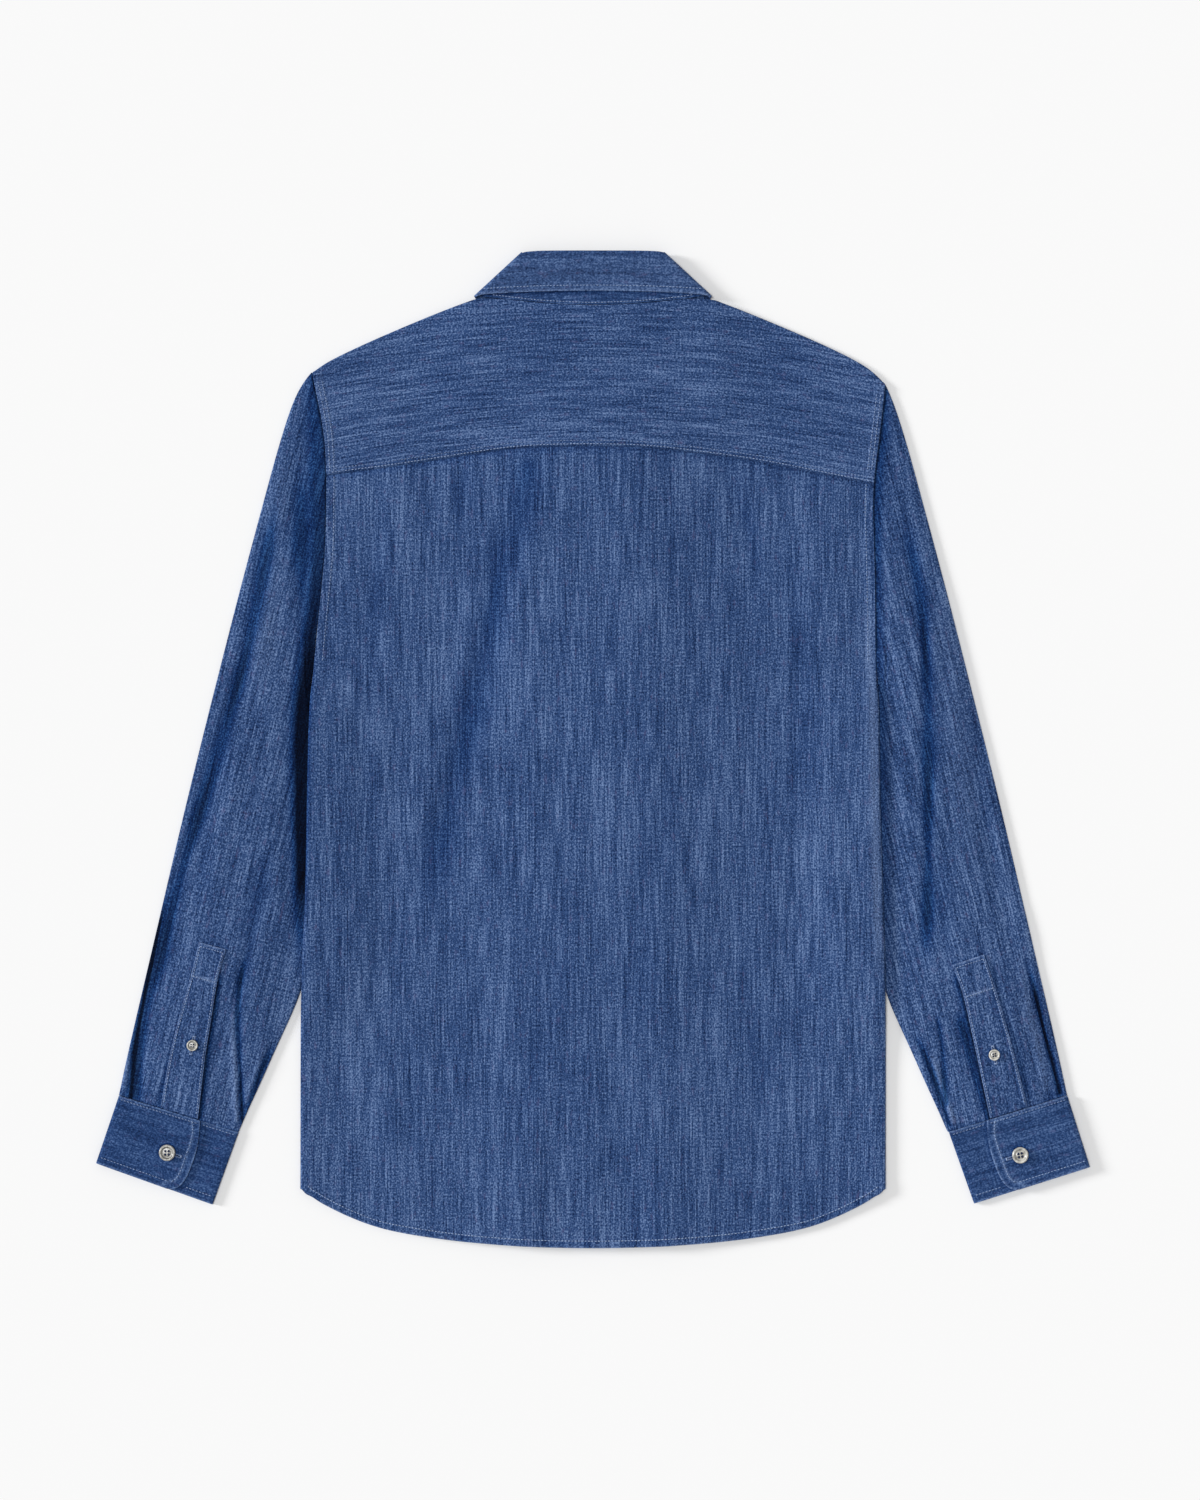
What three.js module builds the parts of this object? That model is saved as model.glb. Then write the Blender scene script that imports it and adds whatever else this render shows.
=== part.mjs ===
// A long-sleeved denim shirt, buttoned and laid flat with its back up.
// Millimetres, +Z up. The floor is z = 0, the collar points to +Y and the wearer's left is at -X.
// Every cloth piece is a thin closed wall worked out from a middle surface and a thickness.
import * as THREE from 'three';

// Thicknesses and clearances
const CLOTH = 1.2;
const FIRM = 1.6;
const STRIP = 1.0;
const SEAM_GAP = 0.4;
const FOLD_PARTING = 0.5;
const ARMHOLE_GAP = 0.4;
const LAY_GAP = 0.4;
const HALF = CLOTH / 2;

// Driving sizes of the body
const HEM_HALF_WIDTH = 228.5;
const UNDERARM_Y = 70;
const YOKE_SEAM_LEVEL = 214;
const BUTTON_STAND = 17.5;
const PANEL_RISE = 2.0;

// Colours read from the cloth and the buttons
const DENIM = { color: 0x3b537d, roughness: 0.92, metalness: 0 };
const DENIM_FIRM = { color: 0x344b76, roughness: 0.9, metalness: 0 };
const SHELL = { color: 0x8d8f92, roughness: 0.35, metalness: 0.1 };

// Outlines: y of each edge across the body, by distance x from the middle
const HEM = [
  { x: 0, y: -388.8 }, { x: 26, y: -388.6 }, { x: 72, y: -386.5 }, { x: 115, y: -382.6 },
  { x: 163, y: -374.8 }, { x: 186, y: -367 }, { x: 203, y: -359.2 }, { x: 217, y: -351.4 },
  { x: 225, y: -346 }, { x: 228.5, y: -341 },
];
const YOKE_SEAM = [
  { x: -206.7, y: 214.1 }, { x: -152.9, y: 221.1 }, { x: -91.3, y: 230.5 }, { x: -55.4, y: 234.8 },
  { x: -8, y: 236.3 }, { x: 40, y: 235.2 }, { x: 79.6, y: 231.3 }, { x: 130.3, y: 224.3 },
  { x: 190.3, y: 212.6 }, { x: 219.2, y: 207.1 },
];
const SHOULDER = [
  { x: 0, y: 346.4 }, { x: 20, y: 346.8 }, { x: 40, y: 348.3 }, { x: 64, y: 350.4 }, { x: 80, y: 351.6 },
  { x: 90, y: 351.6 }, { x: 96, y: 350.4 }, { x: 108, y: 346 }, { x: 126, y: 339 }, { x: 154.4, y: 327.2 },
  { x: 189.5, y: 311.6 }, { x: 205, y: 303.8 }, { x: 217.6, y: 296 }, { x: 229, y: 284 },
];
const FRONT_TOP = [
  { x: 0, y: 286 }, { x: 30, y: 289 }, { x: 55, y: 297 }, { x: 72, y: 307 }, { x: 86, y: 320 },
  { x: 94, y: 317.5 }, { x: 126, y: 305 }, { x: 154.4, y: 293 }, { x: 189.5, y: 277.6 },
  { x: 205, y: 269.8 }, { x: 217.6, y: 262 }, { x: 229, y: 250 },
];

// Armhole and side edge of the body: distance x from the middle at each height y
const SIDE_EDGE = {
  left: [
    { y: -341, x: 228.5 }, { y: -187.6, x: 227.8 }, { y: -117, x: 224.6 }, { y: 0, x: 222.5 },
    { y: 40, x: 220.9 }, { y: 70, x: 217.4 }, { y: 86, x: 217 }, { y: 101, x: 214.5 },
    { y: 132, x: 211.4 }, { y: 163, x: 209 }, { y: 214, x: 208.3 }, { y: 249, x: 210.6 },
    { y: 296, x: 219.6 },
  ],
  right: [
    { y: -341, x: 228.5 }, { y: -187.6, x: 228.2 }, { y: -39, x: 223.9 }, { y: 40, x: 222.8 },
    { y: 70, x: 220.6 }, { y: 88, x: 220.4 }, { y: 132, x: 220 }, { y: 163, x: 219.2 },
    { y: 192, x: 218.6 }, { y: 215, x: 220 }, { y: 251.6, x: 224.6 }, { y: 286, x: 228.4 },
  ],
};
const SHOULDER_POINT = {
  left: { x: 219.6, y: 295 },
  right: { x: 228.2, y: 285 },
};

// Outer fold of a sleeve below its shoulder point, as distance from the middle and height
const SLEEVE_OUTER = [
  { x: 234.2, y: 272.6 }, { x: 239.5, y: 257 }, { x: 246.5, y: 233.6 }, { x: 259.2, y: 186.8 },
  { x: 271.8, y: 140 }, { x: 295.8, y: 46.4 }, { x: 319, y: -47.2 }, { x: 340.9, y: -140.8 },
  { x: 362.7, y: -234.4 }, { x: 370.2, y: -269 },
];
const SLEEVE_CROWN = {
  left: [{ x: 226.2, y: 288.2 }, { x: 230.9, y: 280.4 }],
  right: [{ x: 231.6, y: 279.2 }],
};
// Inner fold: how far it is tucked in under the side of the body, and where it shows below that
const SLEEVE_TUCK = [
  { y: 70, tuck: -1.2 }, { y: 40, tuck: -1.2 }, { y: 12, tuck: -0.6 }, { y: -20, tuck: 6 },
  { y: -60, tuck: 14 }, { y: -100, tuck: 15 }, { y: -140, tuck: 10 }, { y: -170, tuck: 4 },
];
const SLEEVE_INNER = [
  { x: 228.9, y: -191 }, { x: 237.6, y: -211 }, { x: 248.5, y: -234.4 }, { x: 258.7, y: -257.8 },
  { x: 269.6, y: -281.2 }, { x: 276.8, y: -298 },
];

// Corners of a cuff, as distance from the middle and height
const CUFF = {
  left: {
    topOuter: { x: 370.4, y: -269.8 }, topInner: { x: 276.4, y: -298.9 },
    endOuter: { x: 388.3, y: -322.6 }, endInner: { x: 296.7, y: -355.3 },
  },
  right: {
    topOuter: { x: 370.6, y: -269.8 }, topInner: { x: 277.4, y: -298.6 },
    endOuter: { x: 388.3, y: -325.6 }, endInner: { x: 297.2, y: -354.5 },
  },
};

// Sleeve plackets: both long edges, from the boxed top down to the cuff
const SLEEVE_PLACKET = {
  left: {
    outer: [{ x: 307.3, y: -150.2 }, { x: 313, y: -174.5 }, { x: 321, y: -202.6 },
      { x: 329.6, y: -236 }, { x: 337, y: -278.6 }],
    inner: [{ x: 286.2, y: -156 }, { x: 292.5, y: -178 }, { x: 297, y: -207 },
      { x: 301.9, y: -236 }, { x: 308.1, y: -288 }],
  },
  right: {
    outer: [{ x: 304.8, y: -159.9 }, { x: 312.8, y: -183 }, { x: 319.5, y: -206 },
      { x: 326, y: -228.7 }, { x: 338.8, y: -278.4 }],
    inner: [{ x: 280.2, y: -168.1 }, { x: 288.6, y: -190.7 }, { x: 294, y: -215 },
      { x: 299.5, y: -240 }, { x: 309.8, y: -287.8 }],
  },
};

// Buttons
const CUFF_BUTTON = { radius: 6.4, height: 2.6 };
const SLEEVE_BUTTON = { radius: 4.4, height: 2.0 };
const FRONT_BUTTON = { radius: 5.5, height: 1.8 };
const FRONT_BUTTONS = { count: 6, top: 232, pitch: 92 };
const CUFF_BUTTON_AT = { left: { x: 332, y: -314.4 }, right: { x: 333.1, y: -316.3 } };
const SLEEVE_BUTTON_AT = { left: { x: 312.3, y: -230.7 }, right: { x: 312.8, y: -238.1 } };

const SIDES = [{ name: 'left', sign: -1 }, { name: 'right', sign: 1 }];

// Helpers on numbers and tables

const lerp = (a, b, t) => a + (b - a) * t;
const ease = (t) => {
  const s = Math.min(Math.max(t, 0), 1);
  return s * s * (3 - 2 * s);
};
const bell = (distance, width) => Math.exp(-((distance / width) ** 2));
const blendMax = (...values) => values.reduce((sum, value) => sum + Math.max(value, 0) ** 4, 0) ** 0.25;

// Smooth reading of a table: value column against key column, level beyond its ends
function reader(rows, key, value) {
  const slope = (a, b) => (rows[b][value] - rows[a][value]) / (rows[b][key] - rows[a][key]);
  const last = rows.length - 1;
  const slopes = rows.map((row, i) => slope(Math.max(i - 1, 0), Math.min(i + 1, last)));
  return (k) => {
    const at = Math.min(Math.max(k, rows[0][key]), rows[last][key]);
    let i = 0;
    while (i < last - 1 && rows[i + 1][key] < at) i += 1;
    const span = rows[i + 1][key] - rows[i][key];
    const t = (at - rows[i][key]) / span;
    const rise = (1 - t) ** 2 * t * span * slopes[i] - t ** 2 * (1 - t) * span * slopes[i + 1];
    return lerp(rows[i][value], rows[i + 1][value], t * t * (3 - 2 * t)) + rise;
  };
}

const hemY = reader(HEM, 'x', 'y');
const yokeSeamY = reader(YOKE_SEAM, 'x', 'y');
const shoulderY = reader(SHOULDER, 'x', 'y');
const frontTopY = reader(FRONT_TOP, 'x', 'y');
const sideEdge = {
  left: reader(SIDE_EDGE.left, 'y', 'x'),
  right: reader(SIDE_EDGE.right, 'y', 'x'),
};
const sideName = (sign) => (sign < 0 ? 'left' : 'right');

// A smooth plan curve through points given as distance from the middle and height
function planCurve(points) {
  const curve = new THREE.CatmullRomCurve3(points.map((p) => new THREE.Vector3(p.x, p.y, 0)));
  curve.arcLengthDivisions = 400;
  return (t) => curve.getPointAt(Math.min(Math.max(t, 0), 1));
}

// A closed wall round a grid of middle points. Cells may be left out, and the columns may close
// into a ring. The signed volume tells whether the faces have to be turned round.
function wall({ columns, rows, point, thickness = CLOTH, ring = false, has = () => true }) {
  const across = columns.length;
  const along = rows.length;
  const middle = columns.map((column) => rows.map((row) => point(column, row)));
  const at = (i, j) => {
    const column = ring ? (i + across) % across : Math.min(Math.max(i, 0), across - 1);
    return middle[column][Math.min(Math.max(j, 0), along - 1)];
  };
  const positions = [];
  for (let i = 0; i < across; i += 1) {
    for (let j = 0; j < along; j += 1) {
      const du = at(i + 1, j).clone().sub(at(i - 1, j));
      const dv = at(i, j + 1).clone().sub(at(i, j - 1));
      const out = du.cross(dv).setLength(thickness / 2);
      positions.push(...at(i, j).clone().add(out), ...at(i, j).clone().sub(out));
    }
  }
  const cellsAcross = ring ? across : across - 1;
  const filled = (i, j) => {
    const column = ring ? (i + across) % across : i;
    const inside = column >= 0 && column < cellsAcross && j >= 0 && j < along - 1;
    return inside && has(column, j);
  };
  const upper = (i, j) => 2 * ((i % across) * along + j);
  const lower = (i, j) => upper(i, j) + 1;
  const faces = [];
  const quad = (a, b, c, d) => faces.push(a, b, c, a, c, d);
  for (let i = 0; i < cellsAcross; i += 1) {
    for (let j = 0; j < along - 1; j += 1) {
      if (!filled(i, j)) continue;
      quad(upper(i, j), upper(i + 1, j), upper(i + 1, j + 1), upper(i, j + 1));
      quad(lower(i, j), lower(i, j + 1), lower(i + 1, j + 1), lower(i + 1, j));
      if (!filled(i, j - 1)) quad(lower(i, j), lower(i + 1, j), upper(i + 1, j), upper(i, j));
      if (!filled(i, j + 1)) quad(upper(i, j + 1), upper(i + 1, j + 1), lower(i + 1, j + 1), lower(i, j + 1));
      if (!filled(i - 1, j)) quad(upper(i, j), upper(i, j + 1), lower(i, j + 1), lower(i, j));
      if (!filled(i + 1, j)) quad(lower(i + 1, j), lower(i + 1, j + 1), upper(i + 1, j + 1), upper(i + 1, j));
    }
  }
  return facingOut(positions, faces);
}

function facingOut(positions, faces) {
  const corner = (index) => new THREE.Vector3().fromArray(positions, 3 * index);
  let volume = 0;
  for (let f = 0; f < faces.length; f += 3) {
    volume += corner(faces[f]).dot(corner(faces[f + 1]).cross(corner(faces[f + 2])));
  }
  const turned = volume < 0 ? faces.slice().reverse() : faces;
  const geometry = new THREE.BufferGeometry();
  geometry.setAttribute('position', new THREE.Float32BufferAttribute(positions, 3));
  geometry.setIndex(turned);
  geometry.computeVertexNormals();
  return geometry;
}

// Heights of the two body layers, as middle surfaces

const FLOOR_MID = HALF;
const TUCK_RISE = 3.5;
const NECK_RISE = { front: 2.3, back: 3.1 };
const CENTRE_RISE = { left: 3.9, right: 5.5, back: 5.4, backAtNeck: 3.3 };

// The side of the body rides over the tucked part of the sleeve
function tuckRise(x, y) {
  const across = ease((Math.abs(x) - 165) / 30);
  return TUCK_RISE * across * ease((62 - y) / 26) * ease((y + 234) / 28);
}

// The collar's wings lift the panels round the neck
function neckRise(x, y) {
  return ease((132 - Math.abs(x)) / 30) * ease((y - 225) / 32);
}

const centreRise = (x) => ease((62 - Math.abs(x)) / 40);

function frontMid(side, x, y) {
  const centre = CENTRE_RISE[side] * centreRise(x);
  return FLOOR_MID + blendMax(centre, NECK_RISE.front * neckRise(x, y), tuckRise(x, y));
}

// One soft diagonal trough runs down the left of the back, with a shallow one on the right
const BACK_TROUGH = [
  { y: -160, x: -158 }, { y: -91, x: -124 }, { y: -46, x: -112 }, { y: 54, x: -88 },
  { y: 148, x: -70 }, { y: 180, x: -58 }, { y: 222, x: -47 },
];
const troughX = reader(BACK_TROUGH, 'y', 'x');

function backTrough(x, y) {
  const fade = ease((y + 190) / 90) * ease((232 - y) / 40);
  return 0.9 * bell(x - troughX(y), 16) * fade;
}

function backMid(x, y) {
  const middle = lerp(CENTRE_RISE.back, CENTRE_RISE.backAtNeck, ease((y - 240) / 50));
  const hump = middle * ease((125 - Math.abs(x)) / 100);
  const loft = blendMax(hump, NECK_RISE.back * neckRise(x, y), tuckRise(x, y));
  const ripple = 0.5 * (1 + Math.sin(x / 31 + y / 210)) * ease((200 - Math.abs(x)) / 60);
  return FLOOR_MID + PANEL_RISE + loft + ripple - backTrough(x, y) * ease((Math.abs(x) - 60) / 30);
}

const FLAT = 180;
const EDGE_ROLL = 1.3;

// Below the underarm the side of the body is a fold with its seam at half height
const foldShare = (y) => ease((UNDERARM_Y - 2 - y) / 14);

// A point of a body panel. A column lies at its own place across, or turns through the side
// fold, where its turn runs from 0 degrees at the very edge to 90 where the panel lies flat.
function bodyPoint(column, y, layer) {
  const { sign, turn } = column;
  const side = sideName(sign);
  const fold = foldShare(y);
  const edge = sideEdge[side](y) - lerp(SEAM_GAP / 2, HALF, fold);
  const low = (x) => frontMid(column.panel ?? side, x, y);
  const high = (x) => backMid(x, y) + EDGE_ROLL * fold * bell(edge - Math.abs(x) - 6, 12);
  const radius = (high(sign * edge) - low(sign * edge)) / 2;
  const angle = THREE.MathUtils.degToRad(turn);
  const flat = turn === FLAT;
  const x = flat ? column.x(edge) : sign * (edge - radius * (1 - Math.cos(angle)));
  const middle = (high(x) + low(x)) / 2;
  const level = layer === 'back' ? high(x) : low(x);
  const parting = (layer === 'back' ? 1 : -1) * FOLD_PARTING * fold;
  const share = flat ? 1 : lerp(1, Math.sin(angle), fold);
  return new THREE.Vector3(x, y, lerp(middle + parting, level, share));
}

const model = new THREE.Group();

function addPiece(name, geometry, finish) {
  const mesh = new THREE.Mesh(geometry, new THREE.MeshStandardMaterial(finish));
  mesh.name = name;
  model.add(mesh);
  return mesh;
}

// Columns from the middle of the body out to one side, with the turns of its fold. The front and
// the back share them, and their rows below the split, so that the two layers lie evenly.
const BODY_SHARES = [0.08, 0.18, 0.28, 0.43, 0.52, 0.64, 0.74, 0.83, 0.91, 0.96];
const SIDE_TURNS = [90, 45, 0];
const ROW_SPLIT = 100;
const LOWER_ROWS = [0, 0.02, 0.09, 0.17, 0.25, 0.31, 0.4, 0.5, 0.6, 0.7, 0.8, 0.86, 0.89, 0.92, 0.96, 1];
const UPPER_ROWS = [0.33, 0.66, 1];
const BODY_ROWS = [
  ...LOWER_ROWS.map((t) => ({ lower: true, t })), ...UPPER_ROWS.map((t) => ({ lower: false, t })),
];

function outwardColumns(sign, shares) {
  const inner = shares.map((share) => ({ sign, share, turn: FLAT, x: (edge) => sign * edge * share }));
  const fold = SIDE_TURNS.map((turn) => ({ sign, share: 1, turn, x: (edge) => sign * edge }));
  return [...inner, ...fold];
}

const middleColumn = (sign) => ({ sign, share: 0, turn: FLAT, x: () => 0 });
const bodyColumns = (shares) => [
  ...outwardColumns(-1, shares).reverse(), middleColumn(1), ...outwardColumns(1, shares),
];
const across = (column, y) => column.x(sideEdge[sideName(column.sign)](y));
const rowY = (row, low, high) => (row.lower ? lerp(low, ROW_SPLIT, row.t) : lerp(ROW_SPLIT, high, row.t));

// Back panel, from the hem to the yoke seam
function backPanel() {
  const point = (column, row) => {
    const low = hemY(Math.abs(column.x(HEM_HALF_WIDTH)));
    const high = yokeSeamY(across(column, YOKE_SEAM_LEVEL)) - SEAM_GAP / 2;
    return bodyPoint(column, rowY(row, low, high), 'back');
  };
  return wall({ columns: bodyColumns(BODY_SHARES), rows: BODY_ROWS, point });
}

// Front panels, which cross in the middle: the left one lies outside, nearer to the floor
const FRONT_TOP_LEVEL = 255;

function frontPanel({ name, sign }) {
  const crossing = { sign, share: 0, turn: FLAT, x: () => -sign * BUTTON_STAND };
  const columns = [crossing, middleColumn(sign), ...outwardColumns(sign, BODY_SHARES)];
  const point = (column, row) => {
    const low = hemY(Math.abs(column.x(HEM_HALF_WIDTH)));
    const high = frontTopY(Math.abs(across(column, FRONT_TOP_LEVEL))) - SEAM_GAP / 2;
    return bodyPoint({ ...column, panel: name }, rowY(row, low, high), 'front');
  };
  return wall({ columns, rows: BODY_ROWS, point });
}

// Yoke: from the back seam over the shoulder fold to the front seam, open at the neck
const YOKE_SHARES = [0.12, 0.24, 0.35, 0.405, 0.43, 0.52, 0.64, 0.74, 0.83, 0.91, 0.96];
const NECK_SHARE = 0.42;
const YOKE_ROWS = [
  { part: 'back', t: 0 }, { part: 'back', t: 0.25 }, { part: 'back', t: 0.5 }, { part: 'back', t: 0.75 },
  { part: 'fold', turn: 90 }, { part: 'fold', turn: 45 }, { part: 'fold', turn: 0 },
  { part: 'fold', turn: -45 }, { part: 'fold', turn: -90 },
  { part: 'front', t: 0.5 }, { part: 'front', t: 1 },
];
const FOLD_MIDDLE_ROW = YOKE_ROWS.findIndex((row) => row.turn === 0);

function yokePoint(column, row) {
  const { sign, share } = column;
  const side = sideName(sign);
  const onFold = share > NECK_SHARE;
  const top = SHOULDER_POINT[side].x * share;
  const topY = shoulderY(top) - (onFold ? HALF : SEAM_GAP / 2);
  const xAt = (y) => sign * share * (sideEdge[side](y) - SEAM_GAP / 2);
  const high = backMid(xAt(topY), topY);
  const low = frontMid(side, xAt(topY), topY);
  const radius = (high - low) / 2;
  const seam = yokeSeamY(across(column, YOKE_SEAM_LEVEL)) + SEAM_GAP / 2;
  const turn = THREE.MathUtils.degToRad(row.turn);
  if (row.part === 'back') {
    const y = lerp(seam, topY - radius, row.t);
    return new THREE.Vector3(xAt(y), y, backMid(xAt(y), y));
  }
  if (row.part === 'front') {
    const frontSeam = frontTopY(Math.abs(across(column, FRONT_TOP_LEVEL))) + SEAM_GAP / 2;
    const y = lerp(topY - radius, frontSeam, row.t);
    return new THREE.Vector3(xAt(y), y, frontMid(side, xAt(y), y));
  }
  const y = topY - radius * (1 - Math.cos(turn));
  const z = onFold ? (high + low) / 2 + radius * Math.sin(turn) : high;
  return new THREE.Vector3(xAt(y), y, z);
}

function yoke() {
  const columns = bodyColumns(YOKE_SHARES).filter((column) => column.turn === 0 || column.turn === FLAT);
  const has = (i, j) => {
    const narrow = Math.min(columns[i].share, columns[i + 1].share);
    return j < FOLD_MIDDLE_ROW || narrow > NECK_SHARE;
  };
  return wall({ columns, rows: YOKE_ROWS, point: yokePoint, has });
}

// Front placket: the band of the left front, on its outside, which rests on the buttons
function frontPlacket() {
  const columns = [-BUTTON_STAND, -BUTTON_STAND / 2, 0, BUTTON_STAND / 2, BUTTON_STAND];
  const lift = HALF + LAY_GAP + STRIP / 2;
  const point = (x, row) => {
    const y = rowY(row, hemY(Math.abs(x)), frontTopY(Math.abs(x)) - SEAM_GAP / 2);
    return new THREE.Vector3(x, y, frontMid('left', x, y) - lift);
  };
  return wall({ columns, rows: BODY_ROWS, point, thickness: STRIP });
}

// Sleeves. A sleeve is a flattened tube: u runs from its outer fold (0) to its inner fold (1) and v
// from the armhole (0) to the cuff (1). Both layers share one plan, blended from its four edges.
const UNDERARM_EASE = 0.8;

function sleevePlan(name) {
  const edge = sideEdge[name];
  const top = SHOULDER_POINT[name];
  const outerStart = { x: top.x + 2 * ARMHOLE_GAP, y: top.y - HALF };
  const outer = planCurve([outerStart, ...SLEEVE_CROWN[name], ...SLEEVE_OUTER]
    .map((p) => ({ x: p.x - HALF * 0.8, y: p.y - HALF * 0.3 })));
  const tucked = SLEEVE_TUCK.map((row) => ({ x: edge(row.y) - row.tuck, y: row.y }));
  const inner = planCurve([...tucked, ...SLEEVE_INNER]);
  const steps = 12;
  const seamStops = Array.from({ length: steps - 1 }, (_, i) => {
    const y = lerp(outer(0).y, UNDERARM_Y, (i + 1) / steps);
    return { x: edge(y) + ARMHOLE_GAP + UNDERARM_EASE * ease((96 - y) / 24), y };
  });
  const armhole = planCurve([outer(0), ...seamStops, inner(0)]);
  const corner = { a: outer(0), b: inner(0), c: outer(1), d: inner(1) };
  return (u, v) => {
    const cuffEnd = corner.c.clone().lerp(corner.d, u);
    const start = armhole(u);
    const fromEnds = start.clone().lerp(cuffEnd, v);
    const fromSides = outer(v).lerp(inner(v), u);
    const fromCorners = corner.a.clone().lerp(corner.b, u).lerp(cuffEnd, v);
    return fromEnds.add(fromSides).sub(fromCorners);
  };
}

const SLEEVE_LOFT = 2.4;
const SLEEVE_BASE = { armhole: PANEL_RISE, tucked: 1.65 };
const PLEATS = [
  { place: 0.13, depth: 1.1, width: 0.05, from: 0.5 },
  { place: 0.86, depth: 1.2, width: 0.05, from: 0.84 },
];

// Height of the upper layer's middle above the lower one's
function sleeveRise(name, plan, u, v) {
  const { x, y } = plan;
  const outside = x - sideEdge[name](y);
  const clear = y > 62 || y < -215 ? 1 : ease((outside - 3) / 26);
  const beside = ease((75 - y) / 20) * ease((y + 235) / 20);
  const base = lerp(SLEEVE_BASE.armhole, SLEEVE_BASE.tucked, beside * (1 - clear));
  const along = ease(v / 0.2) * lerp(1, 0.55, ease((v - 0.85) / 0.15));
  const loft = SLEEVE_LOFT * along * Math.sin(Math.PI * u) ** 0.7 * lerp(1, clear, beside);
  const pleats = PLEATS.reduce(
    (sum, p) => sum + p.depth * bell(u - p.place, p.width) * ease((v - p.from) / 0.12), 0);
  return base + Math.max(loft - pleats * Math.min(loft, 1), 0);
}

const SLEEVE_LAYER_SHARES = {
  upper: [0.06, 0.13, 0.2, 0.29, 0.4, 0.52, 0.64, 0.74, 0.8, 0.86, 0.93],
  lower: [0.9, 0.65, 0.4, 0.15],
};
const SLEEVE_TURNS = [-60, 0, 60];
const SLEEVE_ROWS = [0, 0.03, 0.07, 0.12, 0.17, 0.22, 0.28, 0.34, 0.4, 0.46, 0.52, 0.58, 0.64, 0.7, 0.76,
  0.82, 0.88, 0.92, 0.96, 1];

function sleeveColumns() {
  const turns = (u, list) => list.map((turn) => ({ u, turn }));
  return [
    ...turns(0, SLEEVE_TURNS),
    ...SLEEVE_LAYER_SHARES.upper.map((u) => ({ u, layer: 'upper' })),
    ...turns(1, SLEEVE_TURNS.slice().reverse()),
    ...SLEEVE_LAYER_SHARES.lower.map((u) => ({ u, layer: 'lower' })),
  ];
}

// A point of the sleeve's middle surface, in distances from the body's middle
function sleevePoint(name, plan, column, v) {
  const { u, turn, layer } = column;
  if (layer) {
    const spot = plan(u, v);
    const rise = layer === 'upper' ? sleeveRise(name, spot, u, v) : 0;
    return new THREE.Vector3(spot.x, spot.y, FLOOR_MID + rise);
  }
  const end = plan(u, v);
  const inward = plan(u === 0 ? 0.02 : 0.98, v).sub(end).normalize();
  const radius = sleeveRise(name, end, u, v) / 2;
  const angle = THREE.MathUtils.degToRad(turn);
  const spot = end.clone().addScaledVector(inward, radius * (1 - Math.cos(angle)));
  return new THREE.Vector3(spot.x, spot.y, FLOOR_MID + radius * (1 + Math.sin(angle)));
}

function sleeve({ name, sign }, plan) {
  const point = (column, v) => {
    const p = sleevePoint(name, plan, column, v);
    return new THREE.Vector3(sign * p.x, p.y, p.z);
  };
  return wall({ columns: sleeveColumns(), rows: SLEEVE_ROWS, point, ring: true });
}

// The sleeve's own place (u, v) under a spot of the plan, found by steps of Newton's method
function sleeveShareAt(plan, x, y) {
  const step = 1e-3;
  let u = 0.5;
  let v = 0.8;
  for (let round = 0; round < 30; round += 1) {
    const here = plan(u, v);
    const du = plan(u + step, v).sub(here).divideScalar(step);
    const dv = plan(u, v + step).sub(here).divideScalar(step);
    const miss = { x: x - here.x, y: y - here.y };
    const area = du.x * dv.y - du.y * dv.x;
    u = THREE.MathUtils.clamp(u + (miss.x * dv.y - miss.y * dv.x) / area, 0, 1 - step);
    v = THREE.MathUtils.clamp(v + (du.x * miss.y - du.y * miss.x) / area, 0, 1 - step);
  }
  return { u, v };
}

function sleeveTop(name, plan, x, y) {
  const { u, v } = sleeveShareAt(plan, x, y);
  return FLOOR_MID + sleeveRise(name, { x, y }, u, v) + HALF;
}

// Sleeve placket: a strip over the slit, made from the sleeve's own surface moved out
const PLACKET_LIFT = LAY_GAP + STRIP / 2;

function sleevePlacket({ name, sign }, plan) {
  const outer = planCurve(SLEEVE_PLACKET[name].outer);
  const inner = planCurve(SLEEVE_PLACKET[name].inner);
  const columns = [0, 0.34, 0.67, 1];
  const rows = [0, 0.08, 0.16, 0.3, 0.45, 0.6, 0.72, 0.86, 1];
  const point = (s, t) => {
    const spot = outer(t).lerp(inner(t), s);
    const z = sleeveTop(name, plan, spot.x, spot.y) + PLACKET_LIFT;
    return new THREE.Vector3(sign * spot.x, spot.y, z);
  };
  return wall({ columns, rows, point, thickness: STRIP });
}

// Cuffs: one band, from its hidden end over the inner fold, along the floor, round the outer fold
// and over its own start to the rounded end that shows
const CUFF_LEVEL = { floor: FIRM / 2, under: FIRM * 1.5 + LAY_GAP, over: FIRM * 2.5 + 2 * LAY_GAP };
const CUFF_ROWS = [0, 0.12, 0.35, 0.6, 0.78, 0.9, 0.97, 1];
const CUFF_OVERLAP = { middle: 0.735, top: 0.68, cornerFrom: 0.72, cornerDepth: 0.12 };
const CUFF_PATH = [
  { s: 0.42, level: 'under' }, { s: 0.58, level: 'under' }, { s: 0.76, level: 'under' },
  { s: 0.9, level: 'under' },
  { s: 1, turn: 90 }, { s: 1, turn: 30 }, { s: 1, turn: -30 }, { s: 1, turn: -90 },
  { s: 0.8, level: 'floor' }, { s: 0.5, level: 'floor' }, { s: 0.2, level: 'floor' },
  { s: 0, turn: -90 }, { s: 0, turn: -30 }, { s: 0, turn: 30 }, { s: 0, turn: 90 },
  { s: 0.15, level: 'over' }, { s: 0.3, level: 'over' }, { s: 0.45, level: 'over' },
  { s: 0.58, level: 'over' }, { end: 0.5, level: 'over' }, { end: 1, level: 'over' },
];

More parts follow.
